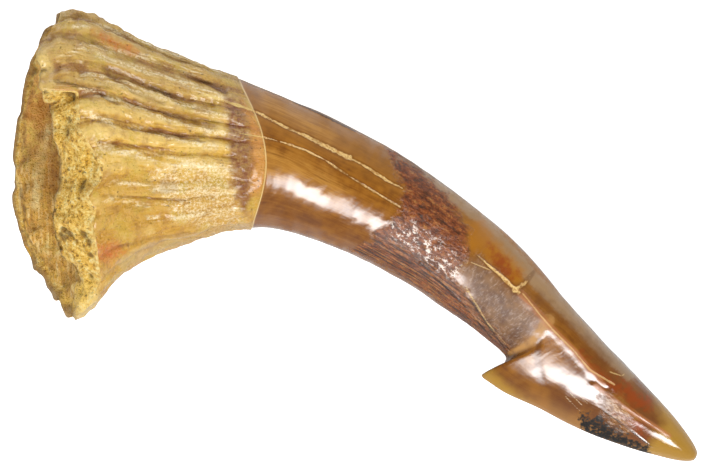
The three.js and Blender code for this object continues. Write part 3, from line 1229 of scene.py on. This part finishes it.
class Effects:
    """The effects that more than one finish uses, each built once as a node group."""

    @staticmethod
    def start(
        name: str, inputs: dict[str, str], outputs: tuple[str, ...]
    ) -> tuple[bpy.types.NodeTree, Sketch, bpy.types.NodeOutputs, bpy.types.NodeInputs]:
        """Begins a node group.

        Args:
            name: The group's name.
            inputs: Socket types by name.
            outputs: Names of the values that it gives.

        Returns:
            The group, a sketch in it, what it is given and what it gives.
        """
        tree = bpy.data.node_groups.new(name, "ShaderNodeTree")
        for given, kind in inputs.items():
            tree.interface.new_socket(given, in_out="INPUT", socket_type=kind)
        for given in outputs:
            tree.interface.new_socket(given, in_out="OUTPUT", socket_type=FLOAT)
        s = Sketch(tree)
        return tree, s, s.node("NodeGroupInput").outputs, s.node("NodeGroupOutput").inputs

    @staticmethod
    @cache
    def line() -> bpy.types.NodeTree:
        """A ragged line: a mask from a distance in half widths.

        Returns:
            The group.
        """
        inputs = {"Distance": FLOAT, "Vector": VECTOR, "Ragged": FLOAT}
        tree, s, given, out = Effects.start("ragged_line", inputs, ("Mask",))
        wander = s.minus(s.noise(given["Vector"], 5.0, 3.0, 0.6), 0.5)
        swelling = s.minus(s.noise(given["Vector"], 0.9, 2.0, 0.5), 0.5)
        uneven = s.total((wander, 1.0), (swelling, 1.3))
        moved = s.plus(given["Distance"], s.times(uneven, given["Ragged"]))
        s.put(out["Mask"], s.remap(moved, 1.15, 0.6))
        return tree

    @staticmethod
    @cache
    def area() -> bpy.types.NodeTree:
        """A ragged area: a mask from a depth inside an outline.

        Returns:
            The group.
        """
        inputs = {"Depth": FLOAT, "Vector": VECTOR, "Scale": FLOAT, "Ragged": FLOAT, "Soft": FLOAT}
        tree, s, given, out = Effects.start("ragged_area", inputs, ("Mask",))
        wander = s.minus(s.noise(given["Vector"], given["Scale"], 4.0, 0.6), 0.5)
        moved = s.plus(given["Depth"], s.times(wander, given["Ragged"]))
        s.put(out["Mask"], s.remap(moved, s.times(given["Soft"], -1.0), given["Soft"]))
        return tree

    @staticmethod
    @cache
    def specks() -> bpy.types.NodeTree:
        """Scattered specks: a mask that is 1 in each speck, and their height.

        Returns:
            The group.
        """
        inputs = {"Vector": VECTOR, "Scale": FLOAT, "Amount": FLOAT}
        tree, s, given, out = Effects.start("specks", inputs, ("Mask", "Height"))
        grain = s.noise(given["Vector"], given["Scale"], 2.0, 0.5)
        edge = s.minus(0.72, s.times(given["Amount"], 0.3))
        s.put(out["Mask"], s.remap(grain, edge, s.plus(edge, 0.07)))
        s.put(out["Height"], grain)
        return tree

    @staticmethod
    @cache
    def striae() -> bpy.types.NodeTree:
        """Fine lines along the barb.

        Returns:
            The group.
        """
        tree, s, given, out = Effects.start("striae", {"Flow": VECTOR, "Scale": FLOAT}, ("Value",))
        drawn = s.scaled(given["Flow"], (1.0, 1.0, 0.06))
        s.put(out["Value"], s.noise(drawn, given["Scale"], 4.0, 0.62))
        return tree


class Brush(Sketch):
    """A sketch that lays the shared effects over the barb's fields."""

    def stain(self, patches: str, place: Socket, scale: float, ragged: float, soft: float) -> Socket:
        """The ragged area of drawn patches.

        Args:
            patches: Which patches.
            place: Positions in millimetres.
            scale: How fine the ragged edge is.
            ragged: How far the edge wanders, in millimetres.
            soft: How far it fades, in millimetres.

        Returns:
            The mask.
        """
        depth = self.field(patches)
        made = self.effect(Effects.area(), Depth=depth, Vector=place, Scale=scale, Ragged=ragged, Soft=soft)
        return made["Mask"]

    def trace(self, strokes: str, place: Socket, ragged: float) -> Socket:
        """The ragged lines of drawn strokes.

        Args:
            strokes: Which strokes.
            place: Positions in millimetres.
            ragged: How far the edges wander, in half widths.

        Returns:
            The mask.
        """
        return self.effect(Effects.line(), Distance=self.field(strokes), Vector=place, Ragged=ragged)["Mask"]

    def striae(self, flow: Socket, scale: float) -> Socket:
        """Fine lines along the barb, from 0 to 1."""
        return self.effect(Effects.striae(), Flow=flow, Scale=scale)["Value"]


class Finish:
    """A procedural finish: its sketch, its shader and its material."""

    name = "finish"

    def material(self) -> bpy.types.Material:
        """Makes the finish's material.

        Returns:
            The material.
        """
        made = bpy.data.materials.new(self.name)
        made.use_nodes = True
        tree = made.node_tree
        shader = next(n for n in tree.nodes if n.type == "BSDF_PRINCIPLED")
        self.paint(Brush(tree), shader)
        return made

    def paint(self, s: Brush, shader: bpy.types.Node) -> None:
        """Drives the shader from the surface's fields."""
        raise NotImplementedError

    @staticmethod
    def bump(s: Sketch, shader: bpy.types.Node, height: Socket, distance: float) -> None:
        """Drives the shader's normal from a height.

        Args:
            s: The sketch.
            shader: The shader.
            height: Heights of about 0 to 1.
            distance: Millimetres for a height of 1.
        """
        node = s.node("ShaderNodeBump")
        node.inputs["Strength"].default_value = 1.0
        node.inputs["Distance"].default_value = distance * MM
        s.put(node.inputs["Height"], height)
        s.put(shader.inputs["Normal"], node.outputs["Normal"])


@dataclass(frozen=True)
class Enamel(Finish):
    """Glossy amber-brown enamel of the spine, with cracks, stains, a translucent tip, and painted
    reflections, highlights and shade.
    """

    name: str = "cap_enamel"
    # A deep brown: the darkest tone of the enamel's striae, and painted shade beside the tip's ridge and
    # along the cracks.
    shadow_brown: Colour = tone(98, 54, 14)
    brown: Colour = tone(134, 82, 22)
    gold: Colour = tone(160, 106, 34)
    bright_gold: Colour = tone(176, 124, 52)
    olive_brown: Colour = tone(146, 98, 32)
    red_brown: Colour = tone(112, 50, 18)
    rust_brown: Colour = tone(150, 82, 34)
    black_brown: Colour = tone(44, 22, 10)
    amber_gold: Colour = tone(158, 100, 18)
    ember_red: Colour = tone(134, 58, 14)
    olive_gold: Colour = tone(160, 120, 40)
    soot_black: Colour = tone(16, 12, 8)
    crack_cream: Colour = tone(226, 192, 124)
    haze_grey: Colour = tone(152, 128, 96)
    satin_grey: Colour = tone(118, 84, 48)
    satin_brown: Colour = tone(72, 40, 18)
    blade_brown: Colour = tone(98, 56, 26)
    vein_tan: Colour = tone(176, 128, 66)
    ridge_tan: Colour = tone(168, 104, 56)
    glint: Colour = tone(240, 226, 212)
    crown_roughness: float = 0.15
    blade_roughness: float = 0.07
    refraction: float = 1.52
    coat_roughness: float = 0.08
    bump_depth: float = 0.018
    scratch_angle: float = -38.0

    def paint(self, s: Brush, shader: bpy.types.Node) -> None:
        """Drives the shader from the surface's fields.

        Args:
            s: The brush.
            shader: The shader.
        """
        place = s.place()
        flow = s.field("flow", "Vector")
        across = s.field("across")
        fine = s.striae(flow, 7.0)
        blade = s.remap(s.field("from_margin"), -25.0, -31.0)
        colour = self.ground(s, place, flow, fine, blade)

        # Painted reflection along the upper edge of the spine.
        colour = s.tint(colour, s.trace("haze", place, 0.6), 0.6, self.haze_grey)
        dark = s.stain("dark", place, 1.6, 1.6, 0.3)
        clot = s.noise(s.scaled(flow, (1.0, 1.0, 0.5)), 2.8, 5.0, 0.75)
        grit = s.effect(Effects.specks(), Vector=place, Scale=6.0, Amount=0.7)
        colour = s.tint(colour, dark, 0.92, self.granular(s, clot, grit["Mask"], fine, across))
        colour = s.tint(colour, s.stain("amber", place, 1.4, 1.2, 0.45), 0.8, self.amber_gold)
        colour = s.tint(colour, s.stain("ember", place, 2.2, 2.2, 0.4), 0.85, self.ember_red)
        # Painted shade beside the tip's ridge.
        colour = s.tint(colour, s.stain("dusk", place, 1.6, 1.4, 0.45), 0.5, self.shadow_brown)
        # Painted light: the thin lower edge of the blade made paler, as if lit through.
        colour = s.blend(s.times(s.remap(across, -0.7, -1.0), s.times(blade, 0.5)), colour, self.vein_tan)
        colour = s.tint(colour, s.stain("olive", place, 0.8, 0.8, 0.5), 0.9, self.olive_gold)
        satin = s.stain("satin", place, 1.0, 1.4, 0.9)
        # Painted sheen on the satin patch: grey mottling over its brown, and pale streaks of painted
        # highlight.
        satin_sheen = s.blend(s.remap(s.noise(place, 0.9, 5.0, 0.7), 0.38, 0.66), self.satin_brown, self.satin_grey)
        sheen_streaks = s.noise(s.scaled(flow, (0.3, 0.3, 1.0)), 7.0, 5.0, 0.75)
        satin_sheen = s.tint(satin_sheen, s.remap(sheen_streaks, 0.48, 0.66), 0.22, self.glint)
        colour = s.tint(colour, satin, 0.75, satin_sheen)
        vein = s.times(s.remap(s.field("veins"), 1.5, 0.3), s.remap(s.noise(place, 2.0), 0.3, 0.6, 0.4, 0.9))
        colour = s.blend(vein, colour, self.vein_tan)
        ridge = s.times(s.remap(s.field("creases"), 0.8, 0.15), s.remap(fine, 0.36, 0.56, 0.3, 0.8))
        colour = s.blend(ridge, colour, self.ridge_tan)
        colour = s.tint(colour, s.remap(s.field("fingers"), 1.6, 0.4), 0.7, self.shadow_brown)
        soot = s.stain("soot", place, 2.4, 2.6, 0.2)
        soot = s.times(soot, s.remap(s.noise(place, 3.4, 5.0, 0.75), 0.62, 0.52, 0.2, 1.0))
        colour = s.blend(soot, colour, self.soot_black)
        glitter = s.stain("glitter", place, 2.0, 1.4, 0.35)
        grains = s.noise(s.scaled(flow, (1.0, 1.0, 0.7)), 3.4, 6.0, 0.8)
        sparkle = s.times(glitter, s.remap(grains, 0.52, 0.58))
        colour = s.blend(s.times(sparkle, s.remap(blade, 0.0, 1.0, 0.9, 0.3)), colour, self.glint)
        grainy = s.times(glitter, blade)
        colour = s.blend(s.times(grainy, s.remap(grains, 0.54, 0.44, 0.2, 0.85)), colour, self.shadow_brown)

        crack = s.trace("cracks", place, 1.8)
        crack = s.times(crack, s.remap(s.noise(place, 0.7, 3.0, 0.6), 0.34, 0.52, 0.25, 1.0))
        fill = s.blend(s.remap(s.noise(place, 7.0, 2.0), 0.3, 0.6), self.bright_gold, self.crack_cream)
        # Painted shadow: a dark fringe along each crack.
        colour = s.tint(colour, s.remap(s.field("cracks"), 2.6, 1.2), 0.5, self.shadow_brown)
        colour = s.tint(colour, crack, 0.85, fill)
        hair = s.trace("hairlines", place, 1.0)
        colour = s.tint(colour, hair, 0.45, self.crack_cream)
        colour = s.tint(colour, s.trace("flakes", place, 2.2), 0.75, self.black_brown)
        colour = s.tint(colour, s.remap(s.field("from_margin"), -0.12, -0.04), 0.9, self.crack_cream)
        s.put(shader.inputs["Base Color"], colour)

        worn = s.most(ridge, crack, vein)
        rough = s.total(
            (s.remap(blade, 0.0, 1.0, self.crown_roughness, self.blade_roughness), 1.0),
            (dark, 0.12),
            (worn, 0.35),
            (s.most(satin, s.times(grainy, 0.6)), 0.36),
        )
        s.put(shader.inputs["Roughness"], s.math("ADD", rough, s.times(soot, 0.3), True))
        shader.inputs["IOR"].default_value = self.refraction
        dulled = s.remap(s.most(satin, soot, grainy, dark, worn), 0.0, 1.0, 1.0, 0.0)
        skew = s.total((s.noise(s.scaled(flow, (0.2, 0.2, 1.0)), 0.75, 2.0), 1.0), (fine, 0.08))
        patchy = s.most(s.remap(skew, 0.46, 0.58, 0.1, 0.65), s.times(blade, 0.95))
        s.put(shader.inputs["Coat Weight"], s.times(dulled, patchy))
        shader.inputs["Coat Roughness"].default_value = self.coat_roughness

        turned = s.node("ShaderNodeVectorRotate", rotation_type="Z_AXIS")
        s.put(turned.inputs["Vector"], place)
        turned.inputs["Angle"].default_value = math.radians(self.scratch_angle)
        brushed = s.noise(s.scaled(turned.outputs["Vector"], (0.12, 1.0, 0.5)), 2.6, 5.0, 0.7)
        relief = s.total(
            (fine, 0.35),
            (s.noise(s.scaled(flow, (0.2, 0.2, 1.0)), 2.4, 3.0, 0.6), 0.5),
            (brushed, s.remap(blade, 0.0, 1.0, 1.0, 0.4)),
            (s.times(s.noise(place, 5.0), satin), 0.6),
            (s.noise(place, 3.0, 2.0), 0.25),
            (s.times(grit["Height"], s.most(dark, s.times(glitter, 0.6))), 1.6),
            (s.times(clot, dark), 4.5),
            (s.times(crack, s.noise(place, 12.0, 2.0)), -1.0),
            (hair, -0.3),
        )
        self.bump(s, shader, relief, self.bump_depth)

    def ground(self, s: Brush, place: Socket, flow: Socket, fine: Socket, blade: Socket) -> Socket:
        """The enamel's own colour, under its stains.

        Args:
            s: The brush.
            place: Positions in millimetres.
            flow: Coordinates along the barb.
            fine: Fine lines along the barb.
            blade: 1 on the blade.

        Returns:
            The colour.
        """
        across = s.field("across")
        stripe = s.total((s.striae(flow, 1.5), 0.2), (fine, 0.35), (s.noise(place, 1.3, 4.0, 0.6), 0.45))
        colour = s.ramp(stripe, (0.34, self.shadow_brown), (0.5, self.brown), (0.66, self.gold))
        colour = s.tint(colour, s.remap(across, 0.1, 0.75), 0.55, self.olive_brown)
        colour = s.tint(colour, s.remap(across, -0.2, -0.85), 0.5, self.shadow_brown)
        colour = s.tint(colour, blade, 0.7, self.blade_brown)
        colour = s.tint(colour, s.remap(s.noise(place, 0.35), 0.5, 0.7), 0.4, self.gold)
        gilt = s.times(s.stain("gilt", place, 1.2, 1.2, 0.5), s.remap(fine, 0.38, 0.6, 0.3, 0.9))
        return s.blend(gilt, colour, self.bright_gold)

    def granular(self, s: Brush, clot: Socket, grit: Socket, fine: Socket, across: Socket) -> Socket:
        """The clotted colour of the dark patch, streaked along its low edge.

        Args:
            s: The brush.
            clot: Clots from 0 to 1.
            grit: A mask of black grains.
            fine: Fine lines along the barb.
            across: Position across the barb.

        Returns:
            The colour.
        """
        colour = s.ramp(
            clot,
            (0.34, self.black_brown),
            (0.46, self.red_brown),
            (0.58, self.rust_brown),
            (0.7, self.vein_tan),
        )
        colour = s.tint(colour, grit, 0.5, self.black_brown)
        low_edge = s.remap(across, -0.2, -0.6)
        furrow = s.times(s.remap(fine, 0.52, 0.42), s.remap(low_edge, 0.0, 1.0, 0.25, 1.0))
        colour = s.blend(furrow, colour, self.black_brown)
        return s.blend(s.times(s.remap(fine, 0.54, 0.62), s.times(low_edge, 0.4)), colour, self.vein_tan)


@dataclass(frozen=True)
class RootBone(Finish):
    """Satin ochre of the ribbed root, with dark grooves and a maroon band by the cap margin, painted glints
    on the crests and painted shade in the low places.
    """

    name: str = "root_ochre"
    crest: Colour = tone(226, 190, 104)
    ochre: Colour = tone(214, 168, 64)
    deep_ochre: Colour = tone(186, 134, 30)
    valley: Colour = tone(150, 96, 28)
    grey_brown: Colour = tone(158, 122, 72)
    groove_maroon: Colour = tone(96, 48, 20)
    band_maroon: Colour = tone(116, 56, 32)
    band_tan: Colour = tone(192, 126, 50)
    rust_orange: Colour = tone(190, 100, 8)
    ash: Colour = tone(176, 152, 116)
    moss_yellow: Colour = tone(192, 164, 58)
    speck_brown: Colour = tone(82, 52, 24)
    cream: Colour = tone(224, 194, 116)
    glint: Colour = tone(246, 228, 184)
    refraction: float = 1.5
    coat: float = 0.4
    coat_roughness: float = 0.12
    bump_depth: float = 0.16

    def paint(self, s: Brush, shader: bpy.types.Node) -> None:
        """Drives the shader from the surface's fields.

        Args:
            s: The brush.
            shader: The shader.
        """
        place = s.place()
        flow = s.field("flow", "Vector")
        stria = s.striae(flow, 2.2)
        thread = s.striae(flow, 7.0)
        mottle = s.noise(place, 1.1, 4.0, 0.6)
        grain = s.noise(place, 3.6, 5.0, 0.65)
        # Darker in the grooves and low relief, paler on the rib crests: painted shade and light, mixed with
        # the bone's own grain.
        rib = s.total(
            (s.field("rib"), 1.0),
            (s.minus(stria, 0.5), 1.2),
            (s.field("relief"), 0.3),
            (s.minus(grain, 0.5), 0.9),
            (s.minus(thread, 0.5), 1.7),
        )
        colour = s.ramp(rib, (0.1, self.valley), (0.6, self.ochre), (1.0, self.crest))
        across = s.field("across")
        colour = s.tint(colour, s.remap(across, -0.1, 0.8), 0.5, self.grey_brown)
        colour = s.tint(colour, s.remap(across, 0.1, -0.6), 0.75, self.deep_ochre)
        colour = s.tint(colour, s.remap(mottle, 0.5, 0.66), 0.4, self.valley)
        colour = s.tint(colour, s.remap(mottle, 0.46, 0.3), 0.4, self.cream)
        colour = s.tint(colour, s.remap(s.noise(place, 0.6, 4.0, 0.6), 0.5, 0.64), 0.4, self.moss_yellow)

        # Painted highlights: pale granular glints.
        glint_grain = s.remap(s.noise(place, 5.5, 5.0, 0.75), 0.46, 0.6)
        frost = s.times(s.stain("frost", place, 1.4, 1.4, 0.6), glint_grain)
        colour = s.tint(colour, frost, 0.65, self.glint)
        groove = s.times(s.remap(s.field("grooves"), 2.2, 0.2), s.remap(stria, 0.36, 0.52, 1.0, 0.45))
        colour = s.tint(colour, groove, 0.6, self.groove_maroon)
        # Painted highlights: pale glints along the rib crests.
        lit = s.times(s.remap(s.field("crests"), 1.6, 0.2), s.remap(thread, 0.42, 0.56))
        lit = s.times(lit, s.remap(s.noise(place, 5.0, 4.0, 0.7), 0.4, 0.55))
        colour = s.tint(colour, lit, 0.8, self.glint)
        colour = s.tint(colour, s.stain("knobs", place, 1.6, 0.5, 0.3), 0.6, self.cream)
        rust = s.times(s.stain("rust", place, 1.6, 1.2, 0.5), s.remap(grain, 0.36, 0.6, 1.0, 0.5))
        colour = s.blend(rust, colour, self.rust_orange)
        colour = s.tint(colour, s.stain("ashen", place, 1.6, 0.4, 0.15), 0.4, self.ash)
        colour = s.tint(colour, s.stain("tan", place, 1.6, 0.8, 0.3), 0.8, self.band_tan)
        maroon = s.times(s.stain("maroon", place, 1.8, 1.3, 0.35), s.remap(grain, 0.35, 0.62, 0.92, 0.6))
        colour = s.blend(maroon, colour, self.band_maroon)
        colour = s.tint(colour, s.trace("cracks", place, 1.6), 0.8, self.cream)
        specks = s.effect(Effects.specks(), Vector=place, Scale=5.0, Amount=0.12)["Mask"]
        colour = s.tint(colour, specks, 0.6, self.speck_brown)
        s.put(shader.inputs["Base Color"], colour)

        s.put(shader.inputs["Roughness"], s.remap(mottle, 0.3, 0.7, 0.18, 0.32))
        shader.inputs["IOR"].default_value = self.refraction
        shader.inputs["Coat Weight"].default_value = self.coat
        shader.inputs["Coat Roughness"].default_value = self.coat_roughness
        height = s.total((grain, 1.0), (stria, 0.8), (thread, 0.9), (specks, -0.8))
        self.bump(s, shader, height, self.bump_depth)


@dataclass(frozen=True)
class BrokenBase(Finish):
    """Crumbly yellow of the broken rim, and the brown hollow, with painted shade in its low places and a
    painted highlight along the rim's edge.
    """

    name: str = "broken_base"
    yellow: Colour = tone(238, 198, 92)
    deep_yellow: Colour = tone(218, 162, 50)
    cream: Colour = tone(246, 224, 156)
    sun_yellow: Colour = tone(252, 208, 92)
    pit_brown: Colour = tone(98, 66, 18)
    hollow_brown: Colour = tone(232, 176, 86)
    hollow_dark: Colour = tone(200, 138, 54)
    far_brown: Colour = tone(150, 106, 46)
    pocket_orange: Colour = tone(186, 112, 30)
    refraction: float = 1.5
    bump_depth: float = 0.28

    def paint(self, s: Brush, shader: bpy.types.Node) -> None:
        """Drives the shader from the surface's fields.

        Args:
            s: The brush.
            shader: The shader.
        """
        place = s.place()
        mottle = s.noise(place, 1.6, 4.0, 0.6)
        grain = s.noise(place, 6.0, 3.0, 0.6)
        mixed = s.noise(place, 2.6, 6.0, 0.78)
        ringed = s.noise(s.scaled(place, (1.0, 0.12, 1.0)), 3.0, 4.0, 0.65)
        relief = s.field("relief")
        into = s.field("into")
        far = s.remap(s.field("rise"), 0.15, -0.15)

        crumb = s.ramp(
            mixed, (0.34, self.pit_brown), (0.44, self.deep_yellow), (0.53, self.yellow), (0.62, self.cream)
        )
        pits = s.effect(Effects.specks(), Vector=place, Scale=4.0, Amount=0.3)["Mask"]
        # Dark pits, and painted shade in the low places of the relief.
        pits_and_shade = s.most(s.times(pits, s.remap(mottle, 0.42, 0.6, 0.1, 0.8)), s.remap(relief, -0.3, -0.9))
        crumb = s.tint(crumb, pits_and_shade, 0.75, self.pit_brown)
        corner = s.times(s.stain("knobs", place, 1.6, 1.0, 0.4), s.remap(mixed, 0.36, 0.5, 0.1, 0.8))
        crumb = s.blend(corner, crumb, self.sun_yellow)
        # Painted highlight: a pale line along the rim's outer edge.
        rim_highlight = s.times(s.remap(into, 0.2, 0.03), s.remap(mixed, 0.44, 0.6, 0.1, 0.7))
        crumb = s.blend(rim_highlight, crumb, self.cream)
        crumb = s.tint(crumb, s.times(far, s.remap(into, 0.5, 0.1)), 0.8, self.far_brown)

        smooth = s.ramp(mottle, (0.35, self.hollow_dark), (0.5, self.hollow_brown), (0.64, self.yellow))
        layered = s.ramp(ringed, (0.36, self.far_brown), (0.5, self.deep_yellow), (0.62, self.cream))
        smooth = s.tint(smooth, s.remap(s.field("across"), 0.25, -0.15), 0.6, layered)
        # Painted shade: the hollow darker in its low places.
        smooth = s.tint(smooth, s.remap(relief, 0.0, -0.9), 0.4, self.far_brown)
        pocket = s.times(s.stain("pockets", place, 1.4, 1.0, 0.5), s.remap(grain, 0.36, 0.6, 0.8, 0.45))
        smooth = s.blend(pocket, smooth, self.pocket_orange)
        ledge = s.times(s.remap(s.field("ledges"), 2.2, 0.3), s.remap(mixed, 0.42, 0.56, 0.2, 0.8))
        smooth = s.blend(ledge, smooth, self.cream)
        # Dark clefts, partly painted shade under the band's overhang.
        cleft_and_shade = s.times(s.remap(s.field("clefts"), 2.2, 0.3), s.remap(mottle, 0.35, 0.6, 1.0, 0.4))
        smooth = s.tint(smooth, cleft_and_shade, 0.55, self.pit_brown)

        reach = s.total((into, 1.0), (far, 0.5), (s.minus(grain, 0.5), 0.4))
        s.put(shader.inputs["Base Color"], s.blend(s.remap(reach, 0.85, 1.1), crumb, smooth))
        s.put(shader.inputs["Roughness"], s.remap(grain, 0.3, 0.7, 0.25, 0.5))
        shader.inputs["IOR"].default_value = self.refraction
        height = s.total((grain, 1.0), (mottle, 0.6), (ringed, 0.6), (pits, -0.9))
        self.bump(s, shader, height, self.bump_depth)


@dataclass(frozen=True)
class Softbox:
    """A soft light with fading edges, aimed at the barb: angles in degrees, sizes in metres."""

    name: str
    tilt: float
    turn: float
    distance: float
    width: float
    depth: float
    radiance: float
    aim: float = 0.004
    fade: Point = (0.5, 0.3)
    core: float = 1.25

    def build(self) -> None:
        """Makes the light."""
        lamp = bpy.data.lights.new(self.name, "AREA")
        lamp.shape = "RECTANGLE"
        lamp.size = self.width
        lamp.size_y = self.depth
        lamp.energy = self.radiance * math.pi * self.width * self.depth
        lamp.use_nodes = True
        sketch = Sketch(lamp.node_tree)
        split = sketch.node("ShaderNodeSeparateXYZ")
        sketch.put(split.inputs[0], sketch.node("ShaderNodeNewGeometry").outputs["Parametric"])
        fades = []
        for part in ("X", "Y"):
            off = sketch.math("ABSOLUTE", sketch.minus(split.outputs[part], 0.5))
            fades.append(sketch.remap(off, *self.fade, 0.0, self.core))
        glow = next(n for n in lamp.node_tree.nodes if n.type == "EMISSION")
        sketch.put(glow.inputs["Strength"], sketch.times(fades[0], fades[1]))
        light = bpy.data.objects.new(self.name, lamp)
        tilt = math.radians(self.tilt)
        turn = math.radians(self.turn)
        away = Vector((math.sin(tilt) * math.cos(turn), math.sin(tilt) * math.sin(turn), math.cos(tilt)))
        light.location = away * self.distance + Vector((0, 0, self.aim))
        light.rotation_euler = away.to_track_quat("Z", "Y").to_euler()
        light.visible_camera = False
        bpy.context.scene.collection.objects.link(light)


@dataclass
class Studio:
    """A pale floor, soft lights and the camera that looks straight down."""

    frame_width: float = PLAN_SIZE[0] * PLAN_STEP * MM
    lens: float = 900.0
    sensor: float = 36.0
    level: float = 0.0042
    zenith: float = 0.24
    horizon: float = 1.0
    mirrored: float = 0.45
    sky_heights: Point = (0.95, 0.2)
    floor_reach: float = 1.5
    floor_drop: float = 0.00003
    paper_grey: Colour = (0.6, 0.6, 0.6, 1.0)
    paper_roughness: float = 0.9
    white: Colour = (1.0, 1.0, 1.0, 1.0)
    lights: tuple[Softbox, ...] = (
        Softbox("key_softbox", 32, -82, 0.5, 0.46, 0.18, 10.2),
        Softbox("low_softbox", 80, 90, 0.55, 0.6, 0.2, 2.6),
    )

    def build(self, plan_origin: Vector) -> None:
        """Makes the stage.

        Args:
            plan_origin: Where the plan's origin is in the frame.
        """
        scene = bpy.context.scene
        scene.view_settings.view_transform = "Standard"
        world = bpy.data.worlds.new("studio")
        world.use_nodes = True
        sky = Sketch(world.node_tree)
        background = next(n for n in world.node_tree.nodes if n.type == "BACKGROUND")
        split = sky.node("ShaderNodeSeparateXYZ")
        sky.put(split.inputs[0], sky.node("ShaderNodeTexCoord").outputs["Generated"])
        background.inputs["Color"].default_value = self.white
        glow = sky.remap(split.outputs["Z"], *self.sky_heights, self.zenith, self.horizon)
        glossy = sky.node("ShaderNodeLightPath").outputs["Is Glossy Ray"]
        dimmed = sky.remap(glossy, 0.0, 1.0, 1.0, self.mirrored)
        sky.put(background.inputs["Strength"], sky.times(glow, dimmed))
        scene.world = world
        self.floor()
        for light in self.lights:
            light.build()
        self.camera(plan_origin)
        LOG.info("studio: floor, %d lights, camera", len(self.lights))

    def floor(self) -> None:
        """Makes the pale floor."""
        mesh = bpy.data.meshes.new("floor")
        signs = ((-1, -1), (1, -1), (1, 1), (-1, 1))
        corners = [(x * self.floor_reach, y * self.floor_reach, -self.floor_drop) for x, y in signs]
        mesh.from_pydata(corners, [], [(0, 1, 2, 3)])
        paper = bpy.data.materials.new("pale_paper")
        paper.use_nodes = True
        sheet = Sketch(paper.node_tree)
        shader = next(n for n in paper.node_tree.nodes if n.type == "BSDF_PRINCIPLED")
        shader.inputs["Base Color"].default_value = self.paper_grey
        shader.inputs["Roughness"].default_value = self.paper_roughness
        shader.inputs["Emission Color"].default_value = self.white
        seen = sheet.node("ShaderNodeLightPath").outputs["Is Camera Ray"]
        sheet.put(shader.inputs["Emission Strength"], seen)
        mesh.materials.append(paper)
        floor = bpy.data.objects.new("floor", mesh)
        bpy.context.scene.collection.objects.link(floor)

    def camera(self, plan_origin: Vector) -> None:
        """Makes the camera.

        Args:
            plan_origin: Where the plan's origin is in the frame.
        """
        data = bpy.data.cameras.new("camera")
        data.lens = self.lens
        data.sensor_width = self.sensor
        data.clip_start = 0.01
        data.clip_end = 20.0
        camera = bpy.data.objects.new("camera", data)
        distance = self.frame_width * self.lens / self.sensor
        half_step = (PLAN_SIZE[1] / 2 - PLAN_CENTRE[1]) * PLAN_STEP * MM
        camera.location = (plan_origin.x, plan_origin.y - half_step, self.level + distance)
        bpy.context.scene.collection.objects.link(camera)
        bpy.context.scene.camera = camera


def main() -> None:
    """Builds the barb and its studio, and notes the sizes."""
    logging.basicConfig(level=logging.INFO, format="%(name)s: %(message)s")
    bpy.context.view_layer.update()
    barb = Barb()
    piece = barb.build()
    barb.dress(piece)
    shift = barb.shift()
    Studio().build(Vector((-shift[0] * MM, -shift[1] * MM, 0.0)))


if __name__ == "__main__":
    main()
